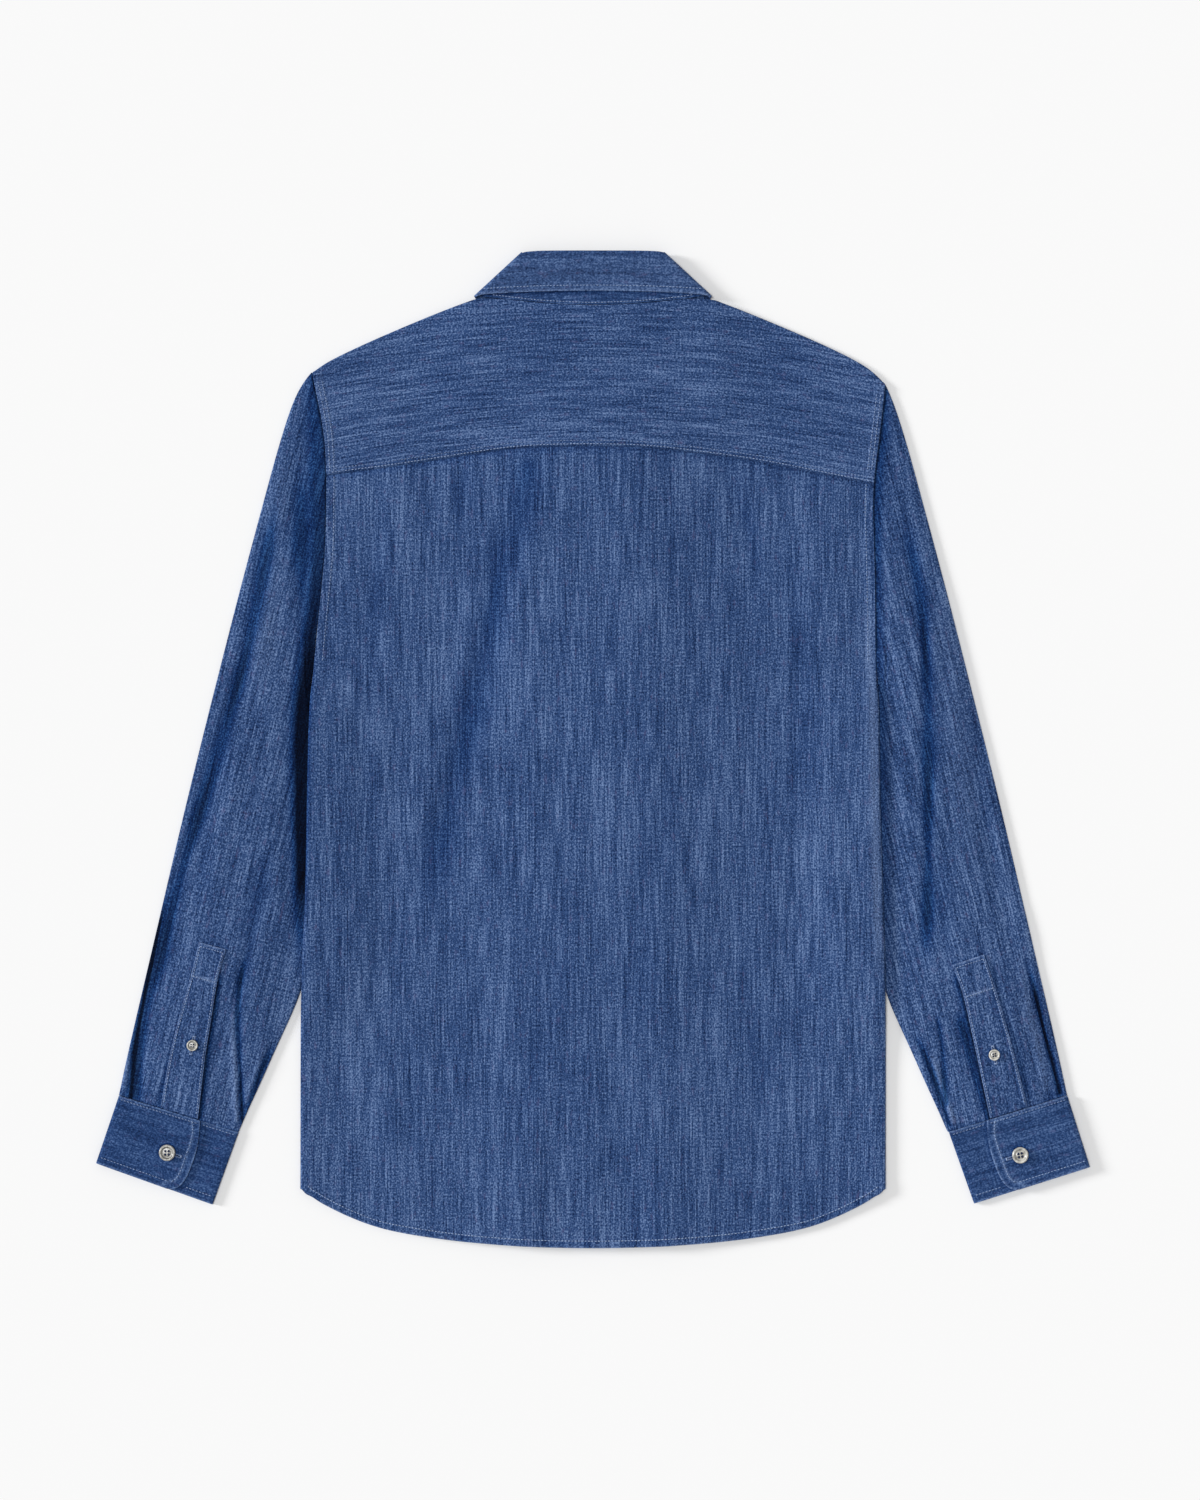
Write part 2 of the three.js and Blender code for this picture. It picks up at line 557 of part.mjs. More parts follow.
function overlapEnd(w) {
  const start = lerp(CUFF_OVERLAP.top, CUFF_OVERLAP.middle, ease(w / 0.3));
  const corner = Math.max(w - CUFF_OVERLAP.cornerFrom, 0) / (1 - CUFF_OVERLAP.cornerFrom);
  return start - CUFF_OVERLAP.cornerDepth * (1 - Math.sqrt(1 - Math.min(corner, 1) ** 2));
}

function cuff({ name, sign }) {
  const corner = Object.fromEntries(
    Object.entries(CUFF[name]).map(([key, p]) => [key, new THREE.Vector3(p.x, p.y, 0)]));
  const spread = (s, w) => corner.topOuter.clone().lerp(corner.topInner, s)
    .lerp(corner.endOuter.clone().lerp(corner.endInner, s), w);
  const point = (stop, w) => {
    const s = stop.end ? lerp(0.6, overlapEnd(w), stop.end) : stop.s;
    const spot = spread(s, w);
    let z = CUFF_LEVEL[stop.level];
    if (stop.turn !== undefined) {
      const above = s === 1 ? CUFF_LEVEL.under : CUFF_LEVEL.over;
      const radius = (above - CUFF_LEVEL.floor) / 2;
      const inward = spread(s === 1 ? 0.9 : 0.1, w).sub(spot).normalize();
      const angle = THREE.MathUtils.degToRad(stop.turn);
      spot.addScaledVector(inward, FIRM / 2 + radius * (1 - Math.cos(angle)));
      z = CUFF_LEVEL.floor + radius * (1 + Math.sin(angle));
    }
    return new THREE.Vector3(sign * spot.x, spot.y, z);
  };
  return wall({ columns: CUFF_PATH, rows: CUFF_ROWS, point, thickness: FIRM });
}

// Collar. The stand and the leaf are bands that run from the front, under the shirt, round the
// side folds and across the back on top. Each stop of a band names its lower and upper edge.
const SIDE_FOLD_TURNS = [-60, -20, 20, 60];

function collarBand({ stops, levelBelow, levelAbove, fold, thickness, rows }) {
  const path = [];
  const add = (sign, stop, level) => path.push({
    low: new THREE.Vector3(sign * stop.low.x, stop.low.y, 0),
    high: new THREE.Vector3(sign * stop.high.x, stop.high.y, 0), level,
  });
  const addFold = (sign, turns) => turns.forEach((degrees) => {
    const turn = THREE.MathUtils.degToRad(degrees);
    const out = fold.reach * (1 - Math.cos(turn));
    const shifted = (p) => ({ x: p.x - out * 0.7, y: p.y - out * 0.7 });
    const share = (1 + Math.sin(turn)) / 2;
    const level = (x, y) => lerp(levelBelow(x, y), levelAbove(x, y), share);
    add(sign, { low: shifted(fold.low), high: shifted(fold.high) }, level);
  });
  stops.below.forEach((stop) => add(-1, stop, stop.level ?? levelBelow));
  addFold(-1, SIDE_FOLD_TURNS);
  stops.above.forEach((stop) => add(-1, stop, levelAbove));
  stops.above.slice(0, -1).reverse().forEach((stop) => add(1, stop, levelAbove));
  addFold(1, SIDE_FOLD_TURNS.slice().reverse());
  (stops.belowRight ?? stops.below).slice().reverse().forEach((stop) => add(1, stop, stop.level ?? levelBelow));
  const point = (stop, w) => {
    const spot = stop.low.clone().lerp(stop.high, w);
    return new THREE.Vector3(spot.x, spot.y, stop.level(spot.x, spot.y, w));
  };
  return wall({ columns: path, rows, point, thickness });
}

const STAND_BELOW = (x, y) => FLOOR_MID + NECK_RISE.front * neckRise(x, y);
const STAND_ABOVE = (x, y) => backMid(x, Math.min(y, 345));
const STAND_UNDER_END = (x, y) => STAND_BELOW(x, y) + CLOTH + LAY_GAP;

function collarStand() {
  const stops = {
    below: [
      { low: { x: -11, y: 287.4 }, high: { x: -9, y: 313 } }, { low: { x: 12, y: 287.8 }, high: { x: 10, y: 315 } },
      { low: { x: 34, y: 290.2 }, high: { x: 25, y: 331 } }, { low: { x: 58, y: 299.4 }, high: { x: 38, y: 350 } },
      { low: { x: 76, y: 311.4 }, high: { x: 48, y: 367 } }, { low: { x: 85, y: 325 }, high: { x: 52, y: 378 } },
    ],
    belowRight: [
      { low: { x: -11, y: 287.4 }, high: { x: -9, y: 313 }, level: STAND_UNDER_END },
      { low: { x: 6, y: 287.4 }, high: { x: 5, y: 314 }, level: STAND_UNDER_END },
      { low: { x: 34, y: 290.2 }, high: { x: 25, y: 331 } }, { low: { x: 58, y: 299.4 }, high: { x: 38, y: 350 } },
      { low: { x: 76, y: 311.4 }, high: { x: 48, y: 367 } }, { low: { x: 85, y: 325 }, high: { x: 52, y: 378 } },
    ],
    above: [
      { low: { x: 82, y: 352.6 }, high: { x: 50, y: 384.2 } }, { low: { x: 64, y: 351.4 }, high: { x: 40, y: 385 } },
      { low: { x: 40, y: 349 }, high: { x: 26, y: 385.2 } }, { low: { x: 20, y: 347.5 }, high: { x: 13, y: 385.2 } },
      { low: { x: 0, y: 347.1 }, high: { x: 0, y: 385.2 } },
    ],
  };
  const fold = { low: { x: 87.4, y: 353.6 }, high: { x: 53.6, y: 384 }, reach: 1.6 };
  return collarBand({
    stops, fold, levelBelow: STAND_BELOW, levelAbove: STAND_ABOVE, thickness: CLOTH, rows: [0, 0.33, 0.67, 1],
  });
}

const LEAF_BELOW = () => FIRM / 2;
const LEAF_ABOVE = (x, y) => STAND_ABOVE(x, y) + HALF + LAY_GAP + FIRM / 2;

function collarLeaf() {
  const stops = {
    below: [
      { low: { x: 56, y: 267 }, high: { x: 9.5, y: 316 } }, { low: { x: 67, y: 290 }, high: { x: 25, y: 342 } },
      { low: { x: 79, y: 316 }, high: { x: 40, y: 366 } }, { low: { x: 87, y: 338 }, high: { x: 49, y: 380 } },
    ],
    above: [
      { low: { x: 88.5, y: 354.4 }, high: { x: 52, y: 388.2 } }, { low: { x: 68, y: 356 }, high: { x: 40, y: 388.6 } },
      { low: { x: 42, y: 357 }, high: { x: 26, y: 388.7 } }, { low: { x: 20, y: 357.4 }, high: { x: 13, y: 388.7 } },
      { low: { x: 0, y: 357.5 }, high: { x: 0, y: 388.7 } },
    ],
  };
  const fold = { low: { x: 92.6, y: 353.4 }, high: { x: 55.5, y: 387.6 }, reach: 2.4 };
  return collarBand({
    stops, fold, levelBelow: LEAF_BELOW, levelAbove: LEAF_ABOVE, thickness: FIRM, rows: [0, 0.3, 0.6, 0.85, 1],
  });
}

// Buttons: a turned disc with a raised rim round a dished middle
function addButton(name, { radius, height }, spot, up = true) {
  const rim = 0.72 * radius;
  const profile = [
    [0, 0], [0.8 * radius, 0], [radius, 0.35 * height], [radius, 0.75 * height],
    [0.86 * radius, height], [rim, height], [0.6 * radius, 0.7 * height], [0, 0.7 * height],
  ].map(([x, y]) => new THREE.Vector2(x, y));
  const segments = 16;
  const geometry = new THREE.LatheGeometry(profile, segments);
  const button = addPiece(name, geometry, SHELL);
  button.rotation.x = up ? Math.PI / 2 : -Math.PI / 2;
  button.position.set(spot.x, spot.y, spot.z);
}

addPiece('back', backPanel(), DENIM);
addPiece('yoke', yoke(), DENIM);
addPiece('front_placket', frontPlacket(), DENIM);
addPiece('collar_stand', collarStand(), DENIM_FIRM);
addPiece('collar_leaf', collarLeaf(), DENIM_FIRM);
for (const side of SIDES) {
  const plan = sleevePlan(side.name);
  addPiece(`front_${side.name}`, frontPanel(side), DENIM);
  addPiece(`sleeve_${side.name}`, sleeve(side, plan), DENIM);
  addPiece(`sleeve_placket_${side.name}`, sleevePlacket(side, plan), DENIM);
  addPiece(`cuff_${side.name}`, cuff(side), DENIM_FIRM);

  const onCuff = CUFF_BUTTON_AT[side.name];
  const cuffTop = CUFF_LEVEL.over + FIRM / 2 + LAY_GAP;
  addButton(`button_cuff_${side.name}`, CUFF_BUTTON, { x: side.sign * onCuff.x, y: onCuff.y, z: cuffTop });

  const onSleeve = SLEEVE_BUTTON_AT[side.name];
  const placketTop = sleeveTop(side.name, plan, onSleeve.x, onSleeve.y) + PLACKET_LIFT + STRIP / 2 + LAY_GAP;
  addButton(`button_sleeve_${side.name}`, SLEEVE_BUTTON, {
    x: side.sign * onSleeve.x, y: onSleeve.y, z: placketTop,
  });
}

// The front buttons lie face down under the placket, and the top one under the stand
for (let i = 0; i < FRONT_BUTTONS.count; i += 1) {
  const y = FRONT_BUTTONS.top - i * FRONT_BUTTONS.pitch;
  addButton(`button_front_${i + 1}`, FRONT_BUTTON, { x: 0, y, z: FRONT_BUTTON.height }, false);
}
addButton('button_stand', FRONT_BUTTON, { x: 0, y: 301, z: FRONT_BUTTON.height }, false);

export default model;
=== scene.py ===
"""A long-sleeved denim shirt, buttoned and laid flat with its back up.

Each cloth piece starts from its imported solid, is smoothed, and gets its creases, seams, sewing and
weave. Distances in the tables are in millimetres, and every mesh is in metres. The floor is z = 0, the
collar points to +Y and the wearer's left is at -X.
"""

import logging
import math
from dataclasses import dataclass
from enum import Enum
from typing import Any, Optional, Sequence

import bmesh
import bpy
import numpy as np
from mathutils import Matrix, Vector
from mathutils.bvhtree import BVHTree


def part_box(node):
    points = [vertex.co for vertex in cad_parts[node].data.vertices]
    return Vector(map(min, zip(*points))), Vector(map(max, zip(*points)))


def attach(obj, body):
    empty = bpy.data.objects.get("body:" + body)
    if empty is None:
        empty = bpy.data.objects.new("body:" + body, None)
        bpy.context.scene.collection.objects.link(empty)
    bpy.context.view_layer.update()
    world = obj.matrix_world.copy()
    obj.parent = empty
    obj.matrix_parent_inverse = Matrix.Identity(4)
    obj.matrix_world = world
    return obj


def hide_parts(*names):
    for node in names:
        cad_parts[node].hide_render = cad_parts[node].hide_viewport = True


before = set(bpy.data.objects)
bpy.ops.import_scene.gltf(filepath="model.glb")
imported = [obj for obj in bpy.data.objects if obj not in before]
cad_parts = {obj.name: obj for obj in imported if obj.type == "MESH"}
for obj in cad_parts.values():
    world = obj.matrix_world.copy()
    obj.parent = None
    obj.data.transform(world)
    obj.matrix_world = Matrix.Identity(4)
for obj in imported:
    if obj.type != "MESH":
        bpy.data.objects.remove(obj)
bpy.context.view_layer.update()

LOG = logging.getLogger("denim_shirt")
MM = 0.001

Array = np.ndarray
Socket = bpy.types.NodeSocket
Point = tuple[float, float]
Path = tuple[Point, ...]
Colour = tuple[float, float, float]


class Side(Enum):
    """The side of the body, with its sign along X."""

    LEFT = -1
    RIGHT = 1

    @property
    def label(self) -> str:
        """The side's part of a node's name."""
        return self.name.lower()


class Face(Enum):
    """Which face of the lying shirt a row of sewing shows on."""

    TOP = 1
    UNDER = -1


# Outlines of the body

HEM: Path = (
    (-228.5, -341), (-225, -346), (-217, -351.4), (-203, -359.2), (-186, -367), (-163, -374.8),
    (-115, -382.6), (-72, -386.5), (-26, -388.6), (26, -388.6), (72, -386.5), (115, -382.6),
    (163, -374.8), (186, -367), (203, -359.2), (217, -351.4), (225, -346), (228.5, -341),
)
YOKE_SEAM: Path = (
    (-206.7, 214.1), (-152.9, 221.1), (-91.3, 230.5), (-55.4, 234.8), (-8, 236.3), (40, 235.2),
    (79.6, 231.3), (130.3, 224.3), (190.3, 212.6), (219.2, 207.1),
)
BODY_SIDE: dict[Side, Path] = {
    Side.LEFT: (
        (-228.5, -341), (-227.8, -187.6), (-224.6, -117), (-222.5, 0), (-220.9, 40), (-217.4, 70),
        (-214.5, 101), (-211.4, 132), (-209, 163), (-208.3, 214), (-210.6, 249), (-219.6, 296),
    ),
    Side.RIGHT: (
        (228.5, -341), (228.2, -187.6), (223.9, -39), (222.8, 40), (220.6, 70), (220.4, 88),
        (220, 132), (219.2, 163), (218.6, 192), (220, 215), (224.6, 251.6), (228.4, 286),
    ),
}
NECK_SEAM: Path = (
    (-87.4, 353.4), (-64, 350.6), (-39.8, 348), (-7.8, 346.4), (7.8, 346.4), (39.8, 348),
    (71.8, 351.4), (87.4, 354.4),
)
UNDERARM_Y = 70.0
PUCKER_REACH = 14.0
HEM_ROW = 5.6
ARMHOLE_ROWS = (3.0, 6.2)
ARMHOLE_BAND = 7.2
HEM_CORNER: Point = (226.0, -344.0)
HEM_CORNER_REACH = 6.0
HEM_CORNER_DROP = 3.0


def ease(value: Array) -> Array:
    """Eases a share from 0 to 1 with level ends."""
    share = np.clip(value, 0.0, 1.0)
    return share * share * (3.0 - 2.0 * share)


def bell(distance: Array, width: float | Array) -> Array:
    """Gives 1 at no distance, falling softly to nothing over about twice the width."""
    return np.exp(-((distance / width) ** 2))


def distance_run(line: Array) -> Array:
    """Gives the length of a line of points up to each of them."""
    return np.concatenate([[0.0], np.cumsum(np.linalg.norm(np.diff(line, axis=0), axis=1))])


def smooth_path(path: Path, step: float) -> Array:
    """Samples a rounded curve through the points of a path.

    Args:
        path: Points in millimetres.
        step: Distance between samples, in millimetres.

    Returns:
        The samples, one row each.
    """
    knots = np.array(path, dtype=float)
    if len(knots) < 3:
        bends = knots
    else:
        padded = np.vstack([2 * knots[0] - knots[1], knots, 2 * knots[-1] - knots[-2]])
        share = np.linspace(0.0, 1.0, 13)[:-1, None]
        spans = []
        for a, b, c, d in zip(padded, padded[1:], padded[2:], padded[3:]):
            spans.append(
                0.5 * (2 * b + (c - a) * share + (2 * a - 5 * b + 4 * c - d) * share ** 2
                       + (3 * b - a - 3 * c + d) * share ** 3)
            )
        bends = np.vstack([*spans, knots[-1:]])
    run = distance_run(bends)
    count = max(int(round(run[-1] / step)), 1)
    stops = np.linspace(0.0, run[-1], count + 1)
    return np.column_stack([np.interp(stops, run, bends[:, axis]) for axis in range(2)])


@dataclass(frozen=True)
class Nearest:
    """Where points lie beside a path: distance, side of it, place along it, and the way to it."""

    away: Array
    left: Array
    along: Array
    toward: Array
    length: float


def beside(points: Array, path: Path, step: float = 6.0) -> Nearest:
    """Measures how points lie beside a path.

    Args:
        points: One row of x and y for each point, in millimetres.
        path: The path's points in millimetres.
        step: How finely the path is sampled.

    Returns:
        The points' places beside the path. A point on the path's left is above zero.
    """
    line = smooth_path(path, step)
    starts, spans = line[:-1], np.diff(line, axis=0)
    sizes = np.linalg.norm(spans, axis=1)
    run = distance_run(line)
    best = np.full(len(points), 1e9)
    left = np.zeros(len(points))
    along = np.zeros(len(points))
    toward = np.zeros((len(points), 2))
    for start, span, size, before in zip(starts, spans, sizes, run):
        offset = points - start
        share = np.clip(offset @ span / size ** 2, 0.0, 1.0)
        gap = offset - share[:, None] * span
        away = np.hypot(gap[:, 0], gap[:, 1])
        nearer = away < best
        best[nearer] = away[nearer]
        left[nearer] = ((span[0] * offset[:, 1] - span[1] * offset[:, 0]) / size)[nearer]
        along[nearer] = (before + share * size)[nearer]
        toward[nearer] = -gap[nearer]
    toward /= np.maximum(best, 1e-6)[:, None]
    return Nearest(best, left, along, toward, float(run[-1]))


class SoftNoise:
    """Smooth random values on a plane, always the same for one seed."""

    GRID = 64

    def __init__(self, seed: int) -> None:
        """Draws the table of values.

        Args:
            seed: Which table it is.
        """
        self.table = np.random.default_rng(seed).uniform(-1.0, 1.0, (self.GRID, self.GRID))

    def at(self, x: Array, y: Array) -> Array:
        """Reads the values between -1 and 1 at places x and y, in cells."""
        column, row = np.floor(x).astype(int), np.floor(y).astype(int)
        across, down = ease(x - column), ease(y - row)
        column, row = column % self.GRID, row % self.GRID
        beyond, below = (column + 1) % self.GRID, (row + 1) % self.GRID
        upper = self.table[row, column] * (1 - across) + self.table[row, beyond] * across
        lower = self.table[below, column] * (1 - across) + self.table[below, beyond] * across
        return upper * (1 - down) + lower * down


@dataclass(frozen=True)
class Fold:
    """A crease laid into the cloth.

    Attributes:
        path: Its line in millimetres.
        width: Half its width.
        depth: How far it rises, or sinks where it is below zero.
        shade: How much painted shade its crease gets, 0 to 1.
        fade: Length over which its start dies away.
        lean: How much steeper its left flank is than its right one, -1 to 1.
        tail: Length over which its end dies away, the same as fade where it is 0.
        glow: How much painted highlight its ridge gets, 0 to 1.
    """

    path: Path
    width: float
    depth: float
    shade: float = 0.0
    fade: float = 45.0
    lean: float = 0.0
    tail: float = 0.0
    glow: float = 0.0

    def weigh(self, points: Array) -> Array:
        """Gives each point's share of the crease, 0 to 1."""
        near = beside(points, self.path)
        phase = self.path[0][0] * 0.7 + self.path[0][1] * 0.3
        broad, fine = np.sin(near.along / 23.0 + phase), np.sin(near.along / 9.0 + 2 * phase)
        uneven = 1.0 + 0.22 * broad + 0.12 * fine
        width = self.width * uneven * (1.0 - self.lean * np.sign(near.left))
        ends = ease(near.along / self.fade) * ease((near.length - near.along) / (self.tail or self.fade))
        return bell(near.away, width) * ends * (1.0 + 0.18 * np.sin(near.along / 17.0 - phase))


@dataclass
class Relief:
    """What a piece's points get: rise and slide in millimetres, a share of painted shade, and a share of
    paling from faded edges and painted highlights.
    """

    rise: Array
    shade: Array
    wear_and_highlight: Array
    slide: Array
    SHUT = 0.6
    SHUT_REACH = 2.5

    @classmethod
    def level(cls, count: int) -> "Relief":
        """A relief with nothing on it yet."""
        return cls(np.zeros(count), np.zeros(count), np.zeros(count), np.zeros((count, 2)))

    def darken(self, amount: float | Array) -> None:
        """Deepens the painted shade to an amount wherever it is paler."""
        self.shade = np.maximum(self.shade, amount)

    def pale(self, amount: float | Array) -> None:
        """Raises the paling from faded edges and painted highlights to an amount wherever it is less."""
        self.wear_and_highlight = np.maximum(self.wear_and_highlight, amount)

    def close(self, near: Nearest, share: Optional[Array] = None) -> None:
        """Draws a piece's edge over to the seam line, so that the seam lies shut.

        Args:
            near: The points' places beside the seam.
            share: How much each point takes part, or all where it isn't given.
        """
        pull = self.SHUT * bell(near.away, self.SHUT_REACH)
        pull = np.minimum(pull if share is None else pull * share, near.away)
        self.slide += near.toward * pull[:, None]

    def crease(self, points: Array, folds: Sequence[Fold]) -> None:
        """Adds creases to the relief, with painted shade in them and painted highlight on their ridges."""
        for fold in folds:
            share = fold.weigh(points)
            self.rise += fold.depth * share
            self.darken(fold.shade * share)
            self.pale(fold.glow * share)

    def band(self, near: Nearest, width: float, height: float, worn: float = 0.4) -> None:
        """Raises the doubled cloth along a seam, with a sunk stitch line and a faded edge.

        Args:
            near: The points' places beside the seam.
            width: Width of the doubled band.
            height: How far it stands up.
            worn: How much its edge is faded.
        """
        tuck = 0.12 * np.sin(near.along / 2.9) + 0.1 * np.sin(near.along / 1.7 + 1.0)
        self.rise += height * ease((width + 0.8 - near.away) / 1.6) * (1.0 + tuck)
        self.rise -= 0.5 * height * bell(near.away - width + 1.0, 0.8)
        self.pale(worn * bell(near.away, 1.1))


def linear(colour: Colour) -> tuple[float, float, float, float]:
    """Turns a screen colour of 0 to 255 into the linear colour that a shader reads."""
    values = [channel / 255 for channel in colour]
    return (*[v / 12.92 if v <= 0.04045 else ((v + 0.055) / 1.055) ** 2.4 for v in values], 1.0)


class Nodes:
    """Builds the nodes of one material.

    The MIX numbers are the places of a Mix node's sockets for colours.
    """

    MIX_SHARE = 0
    MIX_BASE = 6
    MIX_OVER = 7
    MIX_RESULT = 2

    def __init__(self, name: str) -> None:
        """Starts an empty material.

        Args:
            name: The material's name.
        """
        self.material = bpy.data.materials.new(name)
        self.material.use_nodes = True
        self.tree = self.material.node_tree
        self.shader = self.tree.nodes["Principled BSDF"]
        self.shader.inputs["Metallic"].default_value = 0.0

    def fill(self, node: bpy.types.Node, inputs: dict[str | int, Any]) -> None:
        """Links each input to a socket, or sets it to a value."""
        for name, value in inputs.items():
            if isinstance(value, Socket):
                self.tree.links.new(value, node.inputs[name])
            else:
                node.inputs[name].default_value = value

    def add(self, kind: str, inputs: dict[str | int, Any], **settings: Any) -> bpy.types.NodeOutputs:
        """Adds a node.

        Args:
            kind: Its type, without the words that all types start with.
            inputs: A socket or a value for each input, by the input's name or number.
            settings: The node's own settings.

        Returns:
            The node's outputs.
        """
        node = self.tree.nodes.new(f"ShaderNode{kind}")
        for name, value in settings.items():
            setattr(node, name, value)
        self.fill(node, inputs)
        return node.outputs

    def into_shader(self, inputs: dict[str | int, Any]) -> bpy.types.Material:
        """Fills the shader's inputs and gives the material."""
        self.fill(self.shader, inputs)
        return self.material

    def attribute(self, name: str, output: str = "Fac") -> Socket:
        """Reads one of the piece's own attributes."""
        return self.add("Attribute", {}, attribute_name=name)[output]

    def mapped(self, source: Socket, scale: Sequence[float], turn: float = 0.0) -> Socket:
        """Scales and turns a place before a pattern reads it."""
        inputs = {"Vector": source, "Scale": scale, "Rotation": (0.0, 0.0, turn)}
        return self.add("Mapping", inputs)["Vector"]

    def noise(self, place: Socket, detail: float, roughness: float = 0.5) -> Socket:
        """A cloudy pattern of values round a half."""
        inputs = {"Vector": place, "Scale": 1.0, "Detail": detail, "Roughness": roughness}
        return self.add("TexNoise", inputs)["Fac"]

    def wave(self, place: Socket, distortion: float) -> Socket:
        """Bands across the first axis."""
        shape = {"Scale": 1.0, "Distortion": distortion, "Detail": 1.0, "Detail Scale": 1.5}
        return self.add("TexWave", {"Vector": place, **shape})["Fac"]

    def reckon(self, operation: str, *values: Socket | float, clamp: bool = False) -> Socket:
        """Works out one sum."""
        return self.add("Math", dict(enumerate(values)), operation=operation, use_clamp=clamp)[0]

    def sum(self, value: Socket, pattern: Socket, strength: float) -> Socket:
        """Adds a pattern's difference from a half to a value."""
        return self.reckon("ADD", value, self.reckon("MULTIPLY_ADD", pattern, strength, -0.5 * strength))

    def scaled(self, value: Socket, factor: float, shift: float = 0.0) -> Socket:
        """Multiplies a value, shifts it and keeps it between 0 and 1."""
        return self.reckon("MULTIPLY_ADD", value, factor, shift, clamp=True)

    def ramp(self, value: Socket, stops: Sequence[tuple[float, Colour]]) -> Socket:
        """Colours a value by a row of stops."""
        outputs = self.add("ValToRGB", {"Fac": value})
        marks = outputs["Color"].node.color_ramp.elements
        while len(marks) < len(stops):
            marks.new(0.5)
        for mark, (place, colour) in zip(marks, stops):
            mark.position = place
            mark.color = linear(colour)
        return outputs["Color"]

    def mix(self, share: Socket | float, base: Socket, over: Socket | Sequence[float], kind: str) -> Socket:
        """Mixes two colours."""
        inputs = {self.MIX_SHARE: share, self.MIX_BASE: base, self.MIX_OVER: over}
        return self.add("Mix", inputs, data_type="RGBA", blend_type=kind)[self.MIX_RESULT]

    def blend(self, share: Socket, base: Socket, colour: Colour) -> Socket:
        """Blends one colour into another by a share."""
        return self.mix(share, base, linear(colour), "MIX")

    def tint(self, base: Socket, tone: Socket) -> Socket:
        """Multiplies one colour by another."""
        return self.mix(1.0, base, tone, "MULTIPLY")

    def bump(self, height: Socket, depth: float, strength: float) -> Socket:
        """A fine relief for the shader."""
        return self.add("Bump", {"Height": height, "Distance": depth, "Strength": strength})["Normal"]


def cells(across: float, along: float) -> tuple[float, float, float]:
    """The scale of a pattern whose marks are so many millimetres wide and long."""
    return (1.0 / (across * MM), 1.0 / (along * MM), 1.0)


@dataclass(frozen=True)
class DenimFinish:
    """Slubby indigo chambray, woven from dark warp and pale weft.

    Attributes:
        name: The material's name.
        dark: Colour of the deepest yarns.
        middle: The cloth's own colour.
        light: Colour of the palest yarns.
        slub: Strength of the streaks along the grain.
        grain: Strength of the fine grain.
    """

    name: str
    dark: Colour = (12, 30, 66)
    middle: Colour = (47, 74, 121)
    light: Colour = (113, 138, 181)
    slub: float = 1.0
    grain: float = 1.6
    RUST = (92, 88, 128)
    # Colour that faded edges pale towards, and that painted highlights on lit ridges and rolls use too.
    WORN = (140, 163, 204)
    # Ramp that darkens the cloth by its painted shade in creases, seams and grooves.
    PAINTED_SHADE_RAMP = ((0.0, (255, 255, 255)), (0.5, (129, 179, 213)), (1.0, (31, 59, 80)))

    def make(self) -> bpy.types.Material:
        """Builds the material.

        Returns:
            The finished material.
        """
        nodes = Nodes(self.name)
        place = nodes.attribute("weave", "Vector")
        speckle = nodes.noise(nodes.mapped(place, cells(1.15, 1.5)), 1.0, 0.5)
        yarn = nodes.noise(nodes.mapped(place, cells(1.2, 34.0)), 1.0)
        slub = nodes.noise(nodes.mapped(place, cells(2.3, 60.0)), 2.0)
        streak = nodes.noise(nodes.mapped(place, cells(8.0, 150.0)), 2.0)
        weft = nodes.noise(nodes.mapped(place, cells(26.0, 1.3)), 1.0)
        cloud = nodes.noise(nodes.mapped(place, cells(70.0, 110.0)), 2.0)
        twill = nodes.wave(nodes.mapped(place, (330.0, 330.0, 1.0), 0.7), 1.5)
        value = nodes.scaled(speckle, 0.0, 0.5)
        parts = (
            (speckle, self.grain), (yarn, 0.85 * self.slub), (slub, 0.5 * self.slub),
            (streak, 0.44 * self.slub), (weft, 0.3), (cloud, 0.24), (twill, 0.08),
        )
        for pattern, strength in parts:
            value = nodes.sum(value, pattern, strength)
        colour = nodes.ramp(value, ((0.02, self.dark), (0.5, self.middle), (0.98, self.light)))
        rust = nodes.noise(nodes.mapped(place, cells(3.2, 9.0)), 2.0)
        colour = nodes.blend(nodes.scaled(rust, 2.2, -1.32), colour, self.RUST)
        # Paling: real fading along edges and seams, plus painted highlights on lit ridges and on the body's
        # rolled right edge.
        worn = nodes.reckon("MULTIPLY", nodes.attribute("wear_and_highlight"), nodes.scaled(speckle, 2.2, -0.45))
        colour = nodes.blend(worn, colour, self.WORN)
        # Painted shade: the shade attribute darkens creases, seam lines and grooves, paints the shadows
        # beside the placket, cuffs and buttons, and also carries the cuffs' own darker tone.
        painted_shade = nodes.ramp(nodes.attribute("shade"), self.PAINTED_SHADE_RAMP)
        grain = nodes.sum(nodes.sum(speckle, yarn, 0.5), twill, 0.4)
        return nodes.into_shader({
            "Base Color": nodes.tint(colour, painted_shade), "Roughness": 0.95, "Specular IOR Level": 0.06,
            "Sheen Weight": 0.02, "Sheen Roughness": 0.6, "Normal": nodes.bump(grain, 0.0003, 0.55),
        })


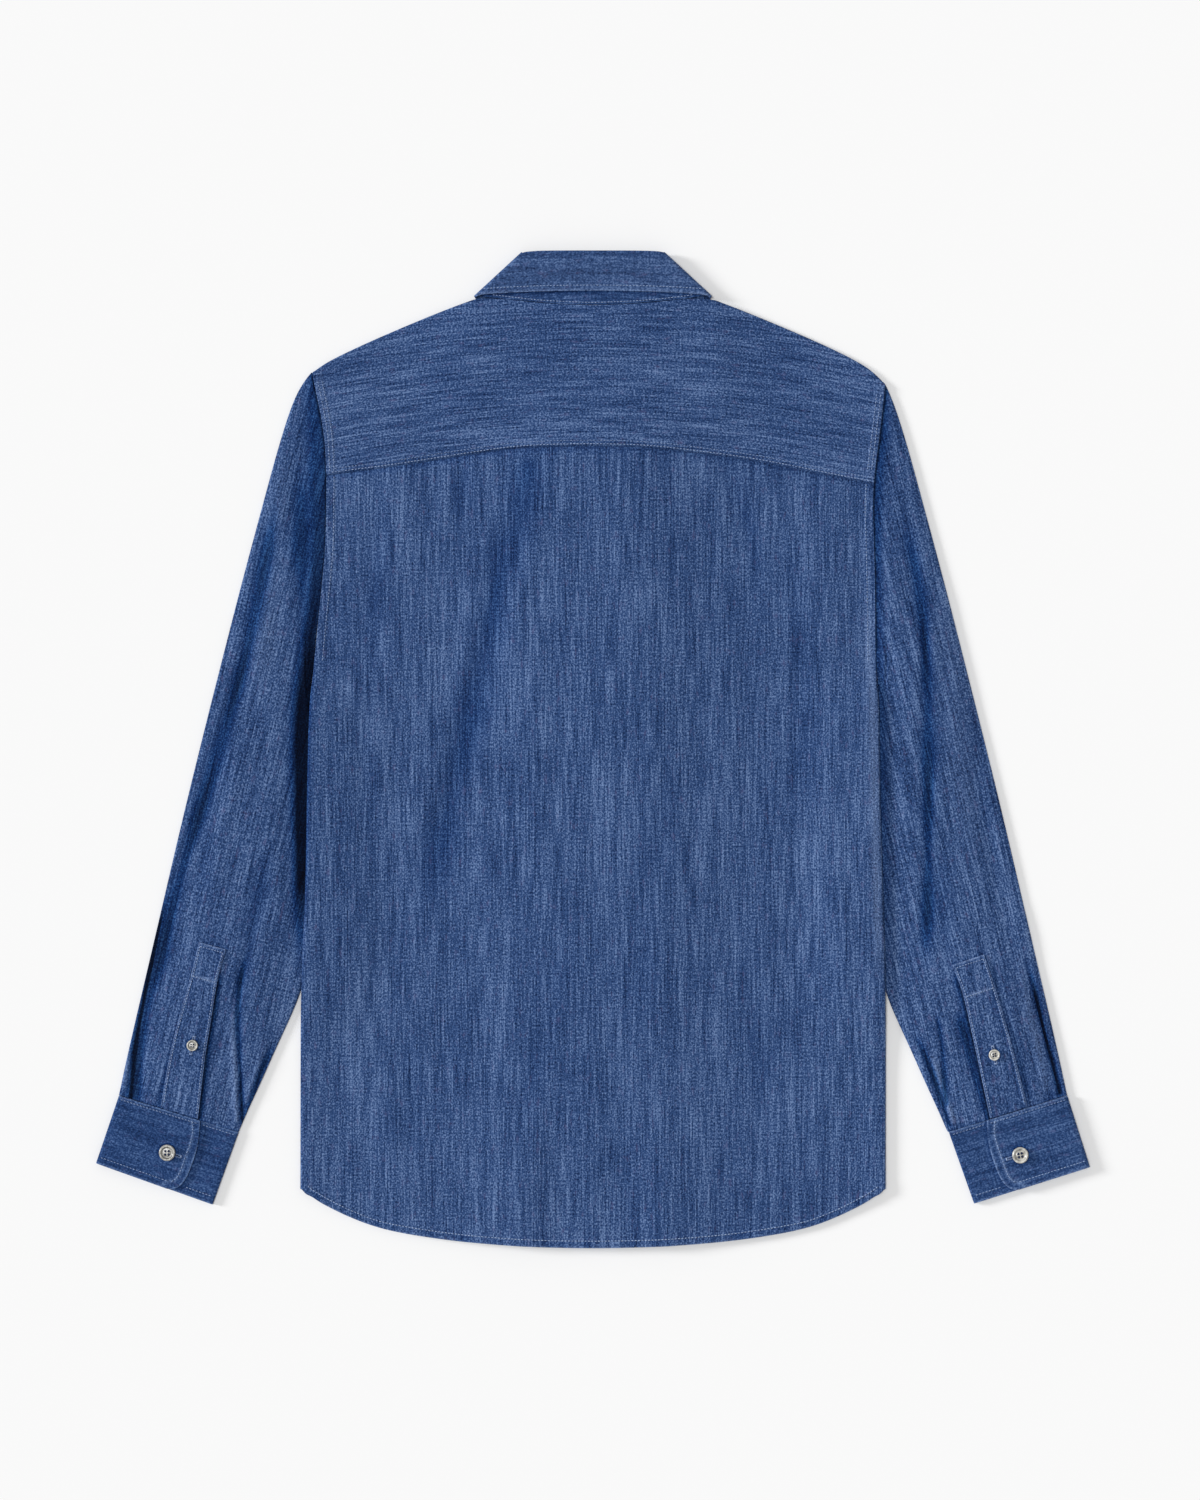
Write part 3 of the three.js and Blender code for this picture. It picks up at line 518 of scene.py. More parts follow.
@dataclass(frozen=True)
class ThreadFinish:
    """Spun sewing thread, paler than the cloth."""

    name: str
    colour: Colour
    shadow: Colour

    def make(self) -> bpy.types.Material:
        """Builds the material.

        Returns:
            The finished material.
        """
        nodes = Nodes(self.name)
        place = nodes.add("TexCoord", {})["Object"]
        ply = nodes.wave(nodes.mapped(place, (2600.0, 1400.0, 1200.0), 0.8), 2.0)
        fleck = nodes.noise(nodes.mapped(place, cells(3.0, 3.0)), 2.0)
        # The dark end of the ramp paints shade between the plies, and the flecks vary the thread's tone at
        # random.
        value = nodes.sum(nodes.scaled(fleck, 1.2, -0.1), ply, 0.35)
        return nodes.into_shader({
            "Base Color": nodes.ramp(value, ((0.2, self.shadow), (0.75, self.colour))), "Roughness": 0.7,
            "Specular IOR Level": 0.3, "Normal": nodes.bump(ply, 0.0001, 0.4),
        })


@dataclass(frozen=True)
class ShellFinish:
    """Smoky grey shell with a soft polish and cloudy layers."""

    name: str = "smoky_shell"

    def make(self) -> bpy.types.Material:
        """Builds the material.

        Returns:
            The finished material.
        """
        nodes = Nodes(self.name)
        place = nodes.add("TexCoord", {})["Object"]
        cloud = nodes.noise(nodes.mapped(place, (140.0, 260.0, 150.0), 0.6), 2.0, 0.5)
        layer = nodes.wave(nodes.mapped(place, (120.0, 50.0, 60.0), 0.9), 3.0)
        value = nodes.sum(cloud, layer, 0.2)
        stops = ((0.25, (150, 148, 142)), (0.5, (196, 194, 186)), (0.75, (228, 225, 215)))
        # Darkens each button by the shell's own smoky tone, plus painted shade in the ring inside the rim
        # and round the holes.
        colour = nodes.blend(nodes.attribute("smoke"), nodes.ramp(value, stops), (40, 40, 40))
        return nodes.into_shader({
            "Base Color": colour, "Roughness": nodes.scaled(cloud, 0.3, 0.12), "Specular IOR Level": 0.6,
            "Coat Weight": 0.4, "Coat Roughness": 0.15, "Normal": nodes.bump(cloud, 0.0002, 0.15),
        })


class Finishes:
    """Makes each finish once, and hands it out."""

    CLOTH = DenimFinish("denim")
    FIRM = DenimFinish(
        "denim_firm", dark=(11, 29, 64), middle=(45, 72, 118), light=(106, 132, 176), slub=0.72, grain=1.15,
    )
    THREAD = ThreadFinish("pale_thread", (170, 190, 222), (104, 128, 172))
    DARK_THREAD = ThreadFinish("indigo_thread", (44, 62, 102), (14, 24, 52))
    SHELL = ShellFinish()

    def __init__(self) -> None:
        """Starts with none made."""
        self.made: dict[str, bpy.types.Material] = {}

    def get(self, finish: DenimFinish | ThreadFinish | ShellFinish) -> bpy.types.Material:
        """Gives a finish's material, and makes it when it is first asked for."""
        if finish.name not in self.made:
            self.made[finish.name] = finish.make()
        return self.made[finish.name]


FINISHES = Finishes()


def finished(mesh: bmesh.types.BMesh, name: str, place: Optional[Matrix] = None) -> bpy.types.Object:
    """Makes a worked mesh an object of the scene.

    Args:
        mesh: The mesh, which is used up.
        name: The name of the object and of its mesh.
        place: Where its points go, if they aren't there yet.

    Returns:
        The object, at the origin.
    """
    data = bpy.data.meshes.new(name)
    mesh.to_mesh(data)
    mesh.free()
    if place is not None:
        data.transform(place)
    made = bpy.data.objects.new(name, data)
    bpy.context.scene.collection.objects.link(made)
    return made


def vectors(mesh: bpy.types.Mesh, name: str) -> Array:
    """Reads a vector of every point of a mesh, one row each."""
    values = np.zeros(len(mesh.vertices) * 3)
    mesh.vertices.foreach_get(name, values)
    return values.reshape(-1, 3)


def store(mesh: bpy.types.Mesh, name: str, values: Array) -> None:
    """Keeps a share of 0 to 1 for every point of a mesh, for its material to read."""
    layer = mesh.attributes.new(name, "FLOAT", "POINT")
    layer.data.foreach_set("value", np.clip(values, 0.0, 1.0))


def applied(made: bpy.types.Object) -> None:
    """Bakes an object's modifiers into its mesh."""
    graph = bpy.context.evaluated_depsgraph_get()
    shaped = bpy.data.meshes.new_from_object(made.evaluated_get(graph))
    made.modifiers.clear()
    made.data = shaped


def shifted(path: Path, distance: float, start: float = 0.0, end: float = 0.0) -> Path:
    """Moves a path to its left, and may shorten it.

    Args:
        path: The path in millimetres.
        distance: How far to move it to its left.
        start: Length left out at its start.
        end: Length left out at its end.

    Returns:
        The moved path.
    """
    line = smooth_path(path, 3.0)
    slopes = np.gradient(line, axis=0)
    slopes /= np.linalg.norm(slopes, axis=1)[:, None]
    moved = line + distance * np.column_stack([-slopes[:, 1], slopes[:, 0]])
    run = distance_run(moved)
    kept = moved[(run >= start) & (run <= run[-1] - end)]
    return tuple((float(x), float(y)) for x, y in kept)


@dataclass(frozen=True)
class SeamRow:
    """A row of stitches.

    Attributes:
        path: Its line in millimetres.
        face: The face it shows on.
        pitch: Distance from stitch to stitch.
        stitch: Length of one stitch.
        thick: Thickness of its thread.
    """

    path: Path
    face: Face = Face.TOP
    pitch: float = 2.6
    stitch: float = 1.8
    thick: float = 0.58


@dataclass(frozen=True)
class Buttonhole:
    """A worked buttonhole: its middle, its direction in degrees from X, and its length."""

    at: Point
    turn: float
    length: float
    face: Face = Face.TOP


class Sewing:
    """Thread on one cloth piece, laid stitch by stitch on its surface."""

    RAY_HEIGHT = 0.05
    SUNK = 0.1
    SHOWING_BELOW = 0.12
    PALE = 0
    # Index of the indigo thread, which also paints the shade in buttonhole slits.
    DARK = 1
    BATCH = 40
    LIP_PITCH = 0.62
    LIP_INNER = 0.28
    LIP_OUTER = 1.35
    BAR_REACH = 1.4

    def __init__(self, cloth: bpy.types.Object) -> None:
        """Reads the cloth that carries the thread.

        Args:
            cloth: The dressed piece.
        """
        self.name = f"{cloth.name}_thread"
        self.mesh = bmesh.new()
        self.batch = bmesh.new()
        self.waiting = 0
        surface = bmesh.new()
        surface.from_mesh(cloth.data)
        self.surface = BVHTree.FromBMesh(surface)
        surface.free()

    def spot(self, x: float, y: float, face: Face) -> Optional[Vector]:
        """Finds the cloth above or below a place, in metres."""
        start = Vector((x * MM, y * MM, self.RAY_HEIGHT * face.value))
        found = self.surface.ray_cast(start, Vector((0.0, 0.0, -face.value)))[0]
        return found

    def stitch(self, first: Point, last: Point, face: Face, thick: float, colour: int = PALE) -> None:
        """Lays one stitch from one place to another.

        Args:
            first: Where it comes up, in millimetres.
            last: Where it goes down.
            face: The face it shows on.
            thick: The thread's thickness in millimetres.
            colour: Which thread it is.
        """
        start, end = self.spot(*first, face), self.spot(*last, face)
        if start is None or end is None:
            return
        run = end - start
        if run.length < 1e-5 or abs(run.z) > 0.8 * run.length:
            return
        up = Vector((0.0, 0.0, float(face.value)))
        ahead = run.normalized()
        aside = up.cross(ahead).normalized()
        turned = Matrix((ahead, aside, ahead.cross(aside))).transposed().to_4x4()
        half = thick * MM / 2
        size = Matrix.Diagonal((run.length / 2 + half * 0.4, half, half, 1.0))
        sunk = self.SUNK if face is Face.TOP else thick - self.SHOWING_BELOW
        middle = (start + end) / 2 + up * (half - sunk * MM)
        place = Matrix.Translation(middle) @ turned @ size
        made = bmesh.ops.create_uvsphere(self.batch, u_segments=6, v_segments=4, radius=1.0, matrix=place)
        for vert in made["verts"]:
            for face_of in vert.link_faces:
                face_of.material_index = colour
                face_of.smooth = True
        self.waiting += 1
        if self.waiting >= self.BATCH:
            self.gather()

    def gather(self) -> None:
        """Moves the newest stitches to the rest, because a small mesh is quicker to add to."""
        data = bpy.data.meshes.new("stitches")
        self.batch.to_mesh(data)
        self.mesh.from_mesh(data)
        bpy.data.meshes.remove(data)
        self.batch.clear()
        self.waiting = 0

    def row(self, row: SeamRow) -> None:
        """Sews a row."""
        line = smooth_path(row.path, row.pitch)
        share = row.stitch / row.pitch
        for here, there in zip(line, line[1:]):
            self.stitch(tuple(here), tuple(here + (there - here) * share), row.face, row.thick)

    def hole(self, hole: Buttonhole) -> None:
        """Works a buttonhole: close stitches beside a slit, with a bar at each end and a dark strip along
        the slit as its painted shade.
        """
        angle = math.radians(hole.turn)
        ahead = np.array((math.cos(angle), math.sin(angle)))
        aside = np.array((-ahead[1], ahead[0]))
        middle = np.array(hole.at)
        count = int(hole.length / self.LIP_PITCH)
        for step in range(count + 1):
            base = middle + ahead * hole.length * (step / count - 0.5)
            for sign in (-1.0, 1.0):
                near, far = base + aside * sign * self.LIP_INNER, base + aside * sign * self.LIP_OUTER
                self.stitch(tuple(near), tuple(far), hole.face, 0.36)
        for end in (-0.5, 0.5):
            for extra in (0.0, 0.5):
                base = middle + ahead * (hole.length * end + math.copysign(0.5 + extra, end))
                near, far = base - aside * self.BAR_REACH, base + aside * self.BAR_REACH
                self.stitch(tuple(near), tuple(far), hole.face, 0.55)
        # A strip of indigo thread along the slit paints the shade in the cut.
        tips = middle - ahead * hole.length * 0.5, middle + ahead * hole.length * 0.5
        self.stitch(tuple(tips[0]), tuple(tips[1]), hole.face, 0.9, self.DARK)

    def finish(self) -> Optional[bpy.types.Object]:
        """Makes the thread an object.

        Returns:
            The thread, or nothing where no stitch met the cloth.
        """
        self.gather()
        self.batch.free()
        if not self.mesh.verts:
            return None
        made = finished(self.mesh, self.name)
        made.data.materials.append(FINISHES.get(Finishes.THREAD))
        made.data.materials.append(FINISHES.get(Finishes.DARK_THREAD))
        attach(made, "root")
        return made


@dataclass
class ClothPiece:
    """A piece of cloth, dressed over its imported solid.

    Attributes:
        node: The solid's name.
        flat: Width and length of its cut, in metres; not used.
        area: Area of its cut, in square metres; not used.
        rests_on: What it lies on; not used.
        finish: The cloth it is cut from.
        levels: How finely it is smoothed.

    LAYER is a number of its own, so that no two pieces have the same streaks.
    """

    node: str
    flat: tuple[float, float]
    area: float
    rests_on: tuple[str, ...]
    finish: DenimFinish = Finishes.CLOTH
    levels: int = 3

    LAYER = 0.0
    RIM_ANGLE = math.radians(72)
    JOIN_ANGLE = math.radians(40)
    RIM_ROUND = 0.3 * MM

    def smoothed(self) -> bpy.types.Object:
        """Copies the solid, joins its triangles and smooths it, with its cut edges kept and rounded.

        Returns:
            The smooth piece.
        """
        mesh = bmesh.new()
        mesh.from_mesh(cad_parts[self.node].data)
        bmesh.ops.remove_doubles(mesh, verts=mesh.verts, dist=2e-6)
        bmesh.ops.join_triangles(
            mesh, faces=mesh.faces, angle_face_threshold=self.JOIN_ANGLE, angle_shape_threshold=math.pi
        )
        crease = mesh.edges.layers.float.new("crease_edge")
        for edge in mesh.edges:
            if edge.calc_face_angle(0.0) > self.RIM_ANGLE:
                edge[crease] = 1.0
        made = finished(mesh, f"dressed_{self.node}")
        smooth = made.modifiers.new("smooth", "SUBSURF")
        smooth.levels = smooth.render_levels = self.levels
        rim = made.modifiers.new("rim", "BEVEL")
        rim.limit_method = "ANGLE"
        rim.angle_limit = math.radians(60)
        rim.width = self.RIM_ROUND
        rim.segments = 2
        applied(made)
        return made

    def relief(self, points: Array, heights: Array, facing: Array) -> Relief:
        """Works out the piece's creases and seams.

        Args:
            points: Each point's place in plan, in millimetres.
            heights: Each point's height in millimetres.
            facing: How far each point faces up, -1 to 1.

        Returns:
            What each point gets.
        """
        return Relief.level(len(points))

    def weave(self, points: Array) -> Array:
        """Gives each point's place in the cloth, whose warp runs straight down here."""
        return straight_weave(points, 0.0, self.LAYER)

    def rows(self) -> Sequence[SeamRow]:
        """Lists the piece's rows of stitches."""
        return ()

    def holes(self) -> Sequence[Buttonhole]:
        """Lists the piece's buttonholes."""
        return ()

    def dress(self, made: bpy.types.Object) -> None:
        """Moves the points and stores on them the weave, the painted shade, and the paling from faded edges
        and painted highlights.
        """
        mesh = made.data
        places = vectors(mesh, "co") / MM
        relief = self.relief(places[:, :2], places[:, 2], vectors(mesh, "normal")[:, 2])
        woven = self.weave(places[:, :2])
        places[:, :2] += relief.slide
        places[:, 2] = np.maximum(places[:, 2] + relief.rise, 0.0)
        mesh.vertices.foreach_set("co", (places * MM).ravel())
        weave = mesh.attributes.new("weave", "FLOAT_VECTOR", "POINT")
        weave.data.foreach_set("vector", (woven * MM).ravel())
        store(mesh, "shade", relief.shade)
        store(mesh, "wear_and_highlight", relief.wear_and_highlight)
        mesh.shade_smooth()
        mesh.set_sharp_from_angle(angle=math.radians(50))
        mesh.update()

    def build(self) -> bpy.types.Object:
        """Makes the piece with its sewing.

        Returns:
            The cloth.
        """
        made = self.smoothed()
        self.dress(made)
        made.data.materials.clear()
        made.data.materials.append(FINISHES.get(self.finish))
        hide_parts(self.node)
        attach(made, "root")
        sewing = Sewing(made)
        for row in self.rows():
            sewing.row(row)
        for hole in self.holes():
            sewing.hole(hole)
        thread = sewing.finish()
        LOG.info("%s: %d faces", made.name, len(made.data.polygons))
        return made


# Creases, listed one by one

BACK_FOLDS: tuple[Fold, ...] = (
    Fold(((-47.6, 234), (-58.5, 177.5), (-70.2, 148.6), (-78.8, 99.5), (-88.1, 54.2), (-99.1, 9.8),
          (-112.3, -46.4), (-123.2, -90.9), (-138.1, -133), (-155.2, -156)), 12.5, -0.9, 0.34, 12, 0.0, 110),
    Fold(((-32, 222), (-42, 170), (-55, 120), (-66, 70), (-78, 20), (-92, -50)), 9.0, 0.45, 0.0, 60),
    Fold(((-70, 200), (-84, 150), (-98, 80), (-118, 0), (-138, -70)), 10.0, 0.5, 0.0, 60),
    Fold(((-99.1, 228), (-103.7, 194.6), (-107.6, 150)), 6.5, -0.45, 0.18, 10, 0.0, 50),
    Fold(((-110, 224), (-116, 190), (-121, 150)), 6.0, 0.35, 0.0, 30),
    Fold(((102.2, 229), (113.1, 197.7), (126, 150), (132, 90)), 6.5, -0.5, 0.18, 10, 0.0, 70),
    Fold(((88, 226), (98, 190), (108, 130)), 7.0, 0.35, 0.0, 40),
    Fold(((-168, 216), (-166, 170), (-172, 100), (-176, 0)), 8.0, -0.5, 0.14, 14, 0.0, 90),
    Fold(((150, 190), (158, 110), (162, 20), (160, -60)), 10.0, -0.5, 0.1, 60),
    Fold(((-185, 60), (-178, -20), (-176, -120)), 8.0, -0.5, 0.1, 60),
    Fold(((60, 20), (52, -70), (38, -160), (34, -240)), 11.0, -0.4, 0.08, 70),
    Fold(((-20, -120), (-34, -200), (-52, -280), (-60, -340)), 10.0, -0.4, 0.08, 60),
    Fold(((124, -150), (130, -230), (126, -310)), 9.0, -0.4, 0.09, 60),
    Fold(((-150, -200), (-142, -270), (-146, -340)), 8.0, -0.4, 0.09, 50),
    Fold(((190, -60), (196, -150), (192, -240)), 7.0, 0.4, 0.0, 60),
)
FRONT_FOLDS: dict[Side, tuple[Fold, ...]] = {
    Side.LEFT: (
        Fold(((-96, 230), (-112, 150), (-128, 60), (-136, -30)), 7.0, 0.7, 0.35, 60),
        Fold(((-70, 120), (-84, 20), (-104, -90)), 6.0, 0.6, 0.28, 60),
        Fold(((-150, 40), (-146, -70), (-152, -180)), 7.0, 0.7, 0.3, 60),
        Fold(((-110, -150), (-118, -240), (-114, -330)), 6.0, 0.6, 0.25, 50),
    ),
    Side.RIGHT: (
        Fold(((104, 226), (122, 140), (130, 50)), 7.0, 0.7, 0.35, 60),
        Fold(((76, 100), (94, 0), (110, -100)), 6.0, 0.6, 0.28, 60),
        Fold(((148, 30), (154, -80), (146, -190)), 7.0, 0.7, 0.3, 60),
        Fold(((120, -170), (112, -250), (118, -330)), 6.0, 0.6, 0.25, 50),
    ),
}
SLEEVE_FOLDS: dict[Side, tuple[Fold, ...]] = {
    Side.LEFT: (
        Fold(((-240, 235), (-251, 170), (-261, 118), (-272, 67.5), (-288, 10.4), (-299, -25), (-310, -60),
              (-325, -110), (-339, -165), (-351, -215), (-359, -275)), 6.5, -1.3, 0.68, 110, 0.1, 4),
        Fold(((-326, -90), (-336.5, -130), (-346, -175), (-355, -222), (-361, -276)),
             2.6, -0.9, 1.25, 60, 0.3, 3),
        Fold(((-320, -50), (-334, -95), (-350, -160), (-359.5, -205), (-366, -268)),
             2.6, 0.9, 0.0, 50, 0.0, 8, 0.25),
        Fold(((-268, -150), (-275, -180), (-277, -205), (-276, -235), (-273.5, -294)),
             2.3, -1.2, 0.8, 30, 0.0, 3),
        Fold(((-279, -190), (-280.7, -222), (-278, -292)), 1.8, 0.7, 0.0, 20, 0.0, 4, 0.35),
        Fold(((-246, -222), (-254, -240), (-263, -262), (-274, -296)), 2.4, -1.2, 0.7, 26, 0.0, 3),
        Fold(((-252, -226), (-262, -250), (-270, -278)), 2.0, 0.6, 0.0, 20, 0.0, 8, 0.2),
        Fold(((-309, -170), (-318, -205), (-330, -243), (-340, -284)), 3.0, -0.5, 0.42, 30, 0.0, 6),
        Fold(((-223, 262), (-226, 222), (-227, 180), (-227, 140), (-226, 100), (-227, 60)),
             9.0, -1.1, 0.55, 70, 0.0, 60),
        Fold(((-236, 240), (-246, 200), (-252, 150), (-257, 90), (-262, 30)),
             7.0, 0.9, 0.0, 60, 0.0, 60, 0.1),
        Fold(((-262, 30), (-284, -40), (-296, -100), (-304, -150)), 9.0, 0.6, 0.0, 60),
        Fold(((-252, -60), (-262, -120), (-270, -165), (-276, -215)), 7.0, -0.7, 0.3, 60),
        Fold(((-300, -20), (-304, -70), (-308, -130)), 6.0, -0.5, 0.12, 40),
    ),
    Side.RIGHT: (
        Fold(((238, 196), (247, 160), (254.5, 125), (260, 70), (261.5, 10), (261.5, -60), (261, -130),
             (256, -185)),
             5.4, -1.1, 0.66, 60, 0.0, 60),
        Fold(((336, -150), (346, -195), (353, -225), (358.5, -245), (365, -272)),
             2.4, -1.5, 1.25, 60, -0.2, 3),
        Fold(((330, -150), (340, -205), (348, -236), (355, -270)), 3.0, 0.7, 0.0, 40, 0.0, 8, 0.2),
        Fold(((246, -214), (258, -236), (268, -262), (279, -296)), 2.4, -1.2, 0.75, 26, 0.0, 3),
        Fold(((262, -200), (269, -212), (273, -240), (275.5, -280)), 2.4, -1.0, 0.7, 22, 0.0, 4),
        Fold(((262, -235), (271.8, -261), (281.7, -293)), 1.8, 0.7, 0.0, 14, 0.0, 3, 0.45),
        Fold(((283, -200), (290, -222), (297.5, -249.7), (307.5, -286)), 3.6, -0.7, 0.66, 16, 0.0, 4),
        Fold(((308, -162), (316, -185), (323, -208), (330, -231), (341, -276)), 2.6, -0.4, 0.3, 16, 0.0, 6),
        Fold(((270, 130), (280, 60), (288, -20), (300, -110)), 9.0, 0.6, 0.0, 60, 0.0, 60, 0.06),
        Fold(((250, 190), (262, 110), (272, 30)), 6.0, 0.5, 0.0, 50),
        Fold(((296, 40), (306, -40), (320, -130)), 7.0, -0.5, 0.12, 60),
        Fold(((300, 40), (315, -20), (332, -90), (346, -150)), 7.0, -0.4, 0.22, 70),
        Fold(((268, -60), (272, -130), (280, -190)), 7.0, -0.5, 0.2, 50),
    ),
}

DRIFT = SoftNoise(11)
RUCK = SoftNoise(23)


def neck_rise(points: Array) -> Array:
    """How far the collar's wings lift the cloth at each point, 0 to 1."""
    across = ease((132 - np.abs(points[:, 0])) / 30)
    return across * ease((points[:, 1] - 225) / 32)


def side_edge(points: Array, side: Side) -> Array:
    """Distance of the body's edge from the middle at each point's height, in millimetres."""
    table = np.array(BODY_SIDE[side])
    return np.interp(points[:, 1], table[:, 1], np.abs(table[:, 0]))


def settle(points: Array) -> Array:
    """How far the middle of the body sinks below its last button, in millimetres."""
    across = ease((62 - np.abs(points[:, 0])) / 40)
    return -2.3 * across * ease((-262 - points[:, 1]) / 90)


def grain_axes(points: Array, turn: float) -> tuple[Array, Array]:
    """Measures places across and along a grain that is turned from Y, in degrees."""
    angle = math.radians(turn)
    across = points[:, 0] * math.cos(angle) + points[:, 1] * math.sin(angle)
    along = points[:, 1] * math.cos(angle) - points[:, 0] * math.sin(angle)
    return across, along


def ripples(points: Array, turn: float = 0.0) -> Array:
    """Soft unevenness along the grain, in millimetres.

    Args:
        points: The places in plan.
        turn: How far the grain is turned from Y, in degrees.

    Returns:
        The height of the ripples at each place.
    """
    across, along = grain_axes(points, turn)
    broad = DRIFT.at(across / 26 + 20, along / 150 + 20)
    fine = DRIFT.at(across / 11 + 5, along / 60 + 9)
    return 0.34 * broad + 0.16 * fine


def corner_drop(points: Array) -> Array:
    """Fills out the two corners of the hem, as a slide in plan, in millimetres."""
    away = np.hypot(np.abs(points[:, 0]) - HEM_CORNER[0], points[:, 1] - HEM_CORNER[1])
    drop = HEM_CORNER_DROP * bell(away, HEM_CORNER_REACH)
    return np.column_stack([np.zeros(len(points)), -drop])


def button_shade(points: Array, middle: Point, radius: float) -> Array:
    """Painted shadow on the cloth round a button, most above it, 0 to 1."""
    offset = points - np.array(middle)
    away = np.hypot(offset[:, 0], offset[:, 1])
    above = 0.75 + 0.25 * offset[:, 1] / np.maximum(away, 0.1)
    return 0.75 * above * bell(np.clip(away - radius, 0, None), 1.5)


def straight_weave(points: Array, turn: float, layer: float) -> Array:
    """Lays the weave straight over a piece, with its warp turned from Y.

    Args:
        points: The places in plan, in millimetres.
        turn: How far the warp is turned from Y, in degrees.
        layer: The piece's own layer.

    Returns:
        Each point's place in the cloth.
    """
    return np.column_stack([*grain_axes(points, turn), np.full(len(points), layer)])


@dataclass
class BowedPiece(ClothPiece):
    """A piece whose warp runs along X and falls towards both ends, as fast as BOW says."""

    BOW = 0.0

    def weave(self, points: Array) -> Array:
        """Lays the weave across the piece."""
        x, y = points.T
        return np.column_stack([y + self.BOW * x ** 2, x, np.full(len(points), self.LAYER)])


@dataclass
class SidePiece(ClothPiece):
    """A piece that each side of the body has.

    LEAN is how far it leans outwards from Y, in degrees, and WARP how far its warp is turned from that.
    """

    side: Side = Side.LEFT
    LEAN = 0.0
    WARP = 0.0
    LAYER_STEP = 9

    def lean(self) -> float:
        """How far the piece is turned from Y, in degrees."""
        return self.side.value * self.LEAN

    def weave(self, points: Array) -> Array:
        """Lays the weave along the piece, in the side's own layer."""
        layer = self.LAYER + self.LAYER_STEP * self.side.value
        return straight_weave(points, self.WARP + self.lean(), layer)


@dataclass
class BackPanel(ClothPiece):
    """The back, with its shirt-tail hem below and the yoke seam above."""

    HEM_BAND = 6.2
    HEM_TWIST = 0.16
    DEEPEST = 0.45
    DEEPEST_BESIDE = 1.4

    def twist_hem(self, points: Array, relief: Relief) -> None:
        """Doubles the hem, with the slanting ropes that its stitching draws into it and painted shade in
        their dips.
        """
        hem = beside(points, HEM)
        relief.band(hem, self.HEM_BAND, 0.4)
        ropes = RUCK.at((hem.along + 0.8 * hem.away) / 3.4 + 12, np.full(len(points), 8.5))
        inside = ease((self.HEM_BAND - hem.away) / 1.6)
        relief.rise += self.HEM_TWIST * ropes * inside
        # Painted shade in the dips between the ropes.
        relief.darken(0.6 * inside * np.clip(-ropes, 0, 1))
        relief.slide += corner_drop(points)

    def inside(self, points: Array) -> Array:
        """Distance of each point inside the nearer side of the body, in millimetres."""
        left, right = side_edge(points, Side.LEFT), side_edge(points, Side.RIGHT)
        return np.where(points[:, 0] < 0, left, right) - np.abs(points[:, 0])

    def flatten(self, points: Array, relief: Relief) -> None:
        """Levels the creases at the side folds, and keeps their hollows off the layers below."""
        below = ease((UNDERARM_Y - points[:, 1]) / 12)
        relief.rise *= 1 - below * (1 - ease((self.inside(points) - 2) / 12))
        beside_buttons = ease((np.abs(points[:, 0]) - 60) / 30)
        deepest = self.DEEPEST + (self.DEEPEST_BESIDE - self.DEEPEST) * beside_buttons
        relief.rise = np.maximum(relief.rise, -deepest)

    def tuck(self, points: Array, relief: Relief) -> None:
        """Tucks the back under the yoke, puckered by the seam, with painted shade along the seam and in the
        puckers.
        """
        seam = beside(points, YOKE_SEAM)
        pucker = RUCK.at(points[:, 0] / 4.5 + 30, np.full(len(points), 3.5)) * bell(seam.away, PUCKER_REACH)
        relief.rise += 0.3 * pucker + 0.3 * bell(seam.away, 7.0)
        # Painted shade along the seam and in the puckers' dips.
        relief.darken(0.36 * bell(seam.away, 1.3))
        relief.darken(0.3 * np.clip(-pucker, 0, 1))
        relief.close(seam)

    def turn_sides(self, points: Array, relief: Relief) -> None:
        """Doubles the armholes, paints a highlight on the roll at the right and paints shade into the groove
        at the left.
        """
        for side in Side:
            near = beside(points, BODY_SIDE[side])
            over = ease((points[:, 1] - UNDERARM_Y) / 10)
            relief.rise += over * 0.25 * ease((ARMHOLE_BAND - near.away) / 1.6)
            relief.close(near, over)
        left, edge = points[:, 0] < 0, self.inside(points)
        # Painted highlight where the body's rolled right edge catches the light.
        roll = ease((130 - points[:, 1]) / 60) * ease((points[:, 1] + 190) / 60) * ~left
        relief.pale(0.3 * roll * bell(edge - 5, 3.2))
        # Painted shade in the groove beside the body's left edge.
        painted_shade = ease((90 - points[:, 1]) / 50) * ease((points[:, 1] + 150) / 60) * left
        relief.darken(0.5 * painted_shade * bell(edge, 2.6))

    def relief(self, points: Array, heights: Array, facing: Array) -> Relief:
        """Creases the back, doubles its edges and tucks it under the yoke."""
        relief = Relief.level(len(points))
        relief.crease(points, BACK_FOLDS)
        relief.rise += ripples(points)
        self.flatten(points, relief)
        self.twist_hem(points, relief)
        self.tuck(points, relief)
        self.turn_sides(points, relief)
        relief.rise += settle(points)
        return relief

    def rows(self) -> Sequence[SeamRow]:
        """The hem's row and one row inside each armhole."""
        left = tuple(p for p in BODY_SIDE[Side.LEFT] if UNDERARM_Y - 2 < p[1] < 215)
        right = tuple(p for p in BODY_SIDE[Side.RIGHT] if UNDERARM_Y - 2 < p[1] < 216)
        return (
            SeamRow(shifted(HEM, HEM_ROW, 2, 2), thick=0.8),
            SeamRow(shifted(left, -ARMHOLE_ROWS[1])), SeamRow(shifted(right, ARMHOLE_ROWS[1])),
        )


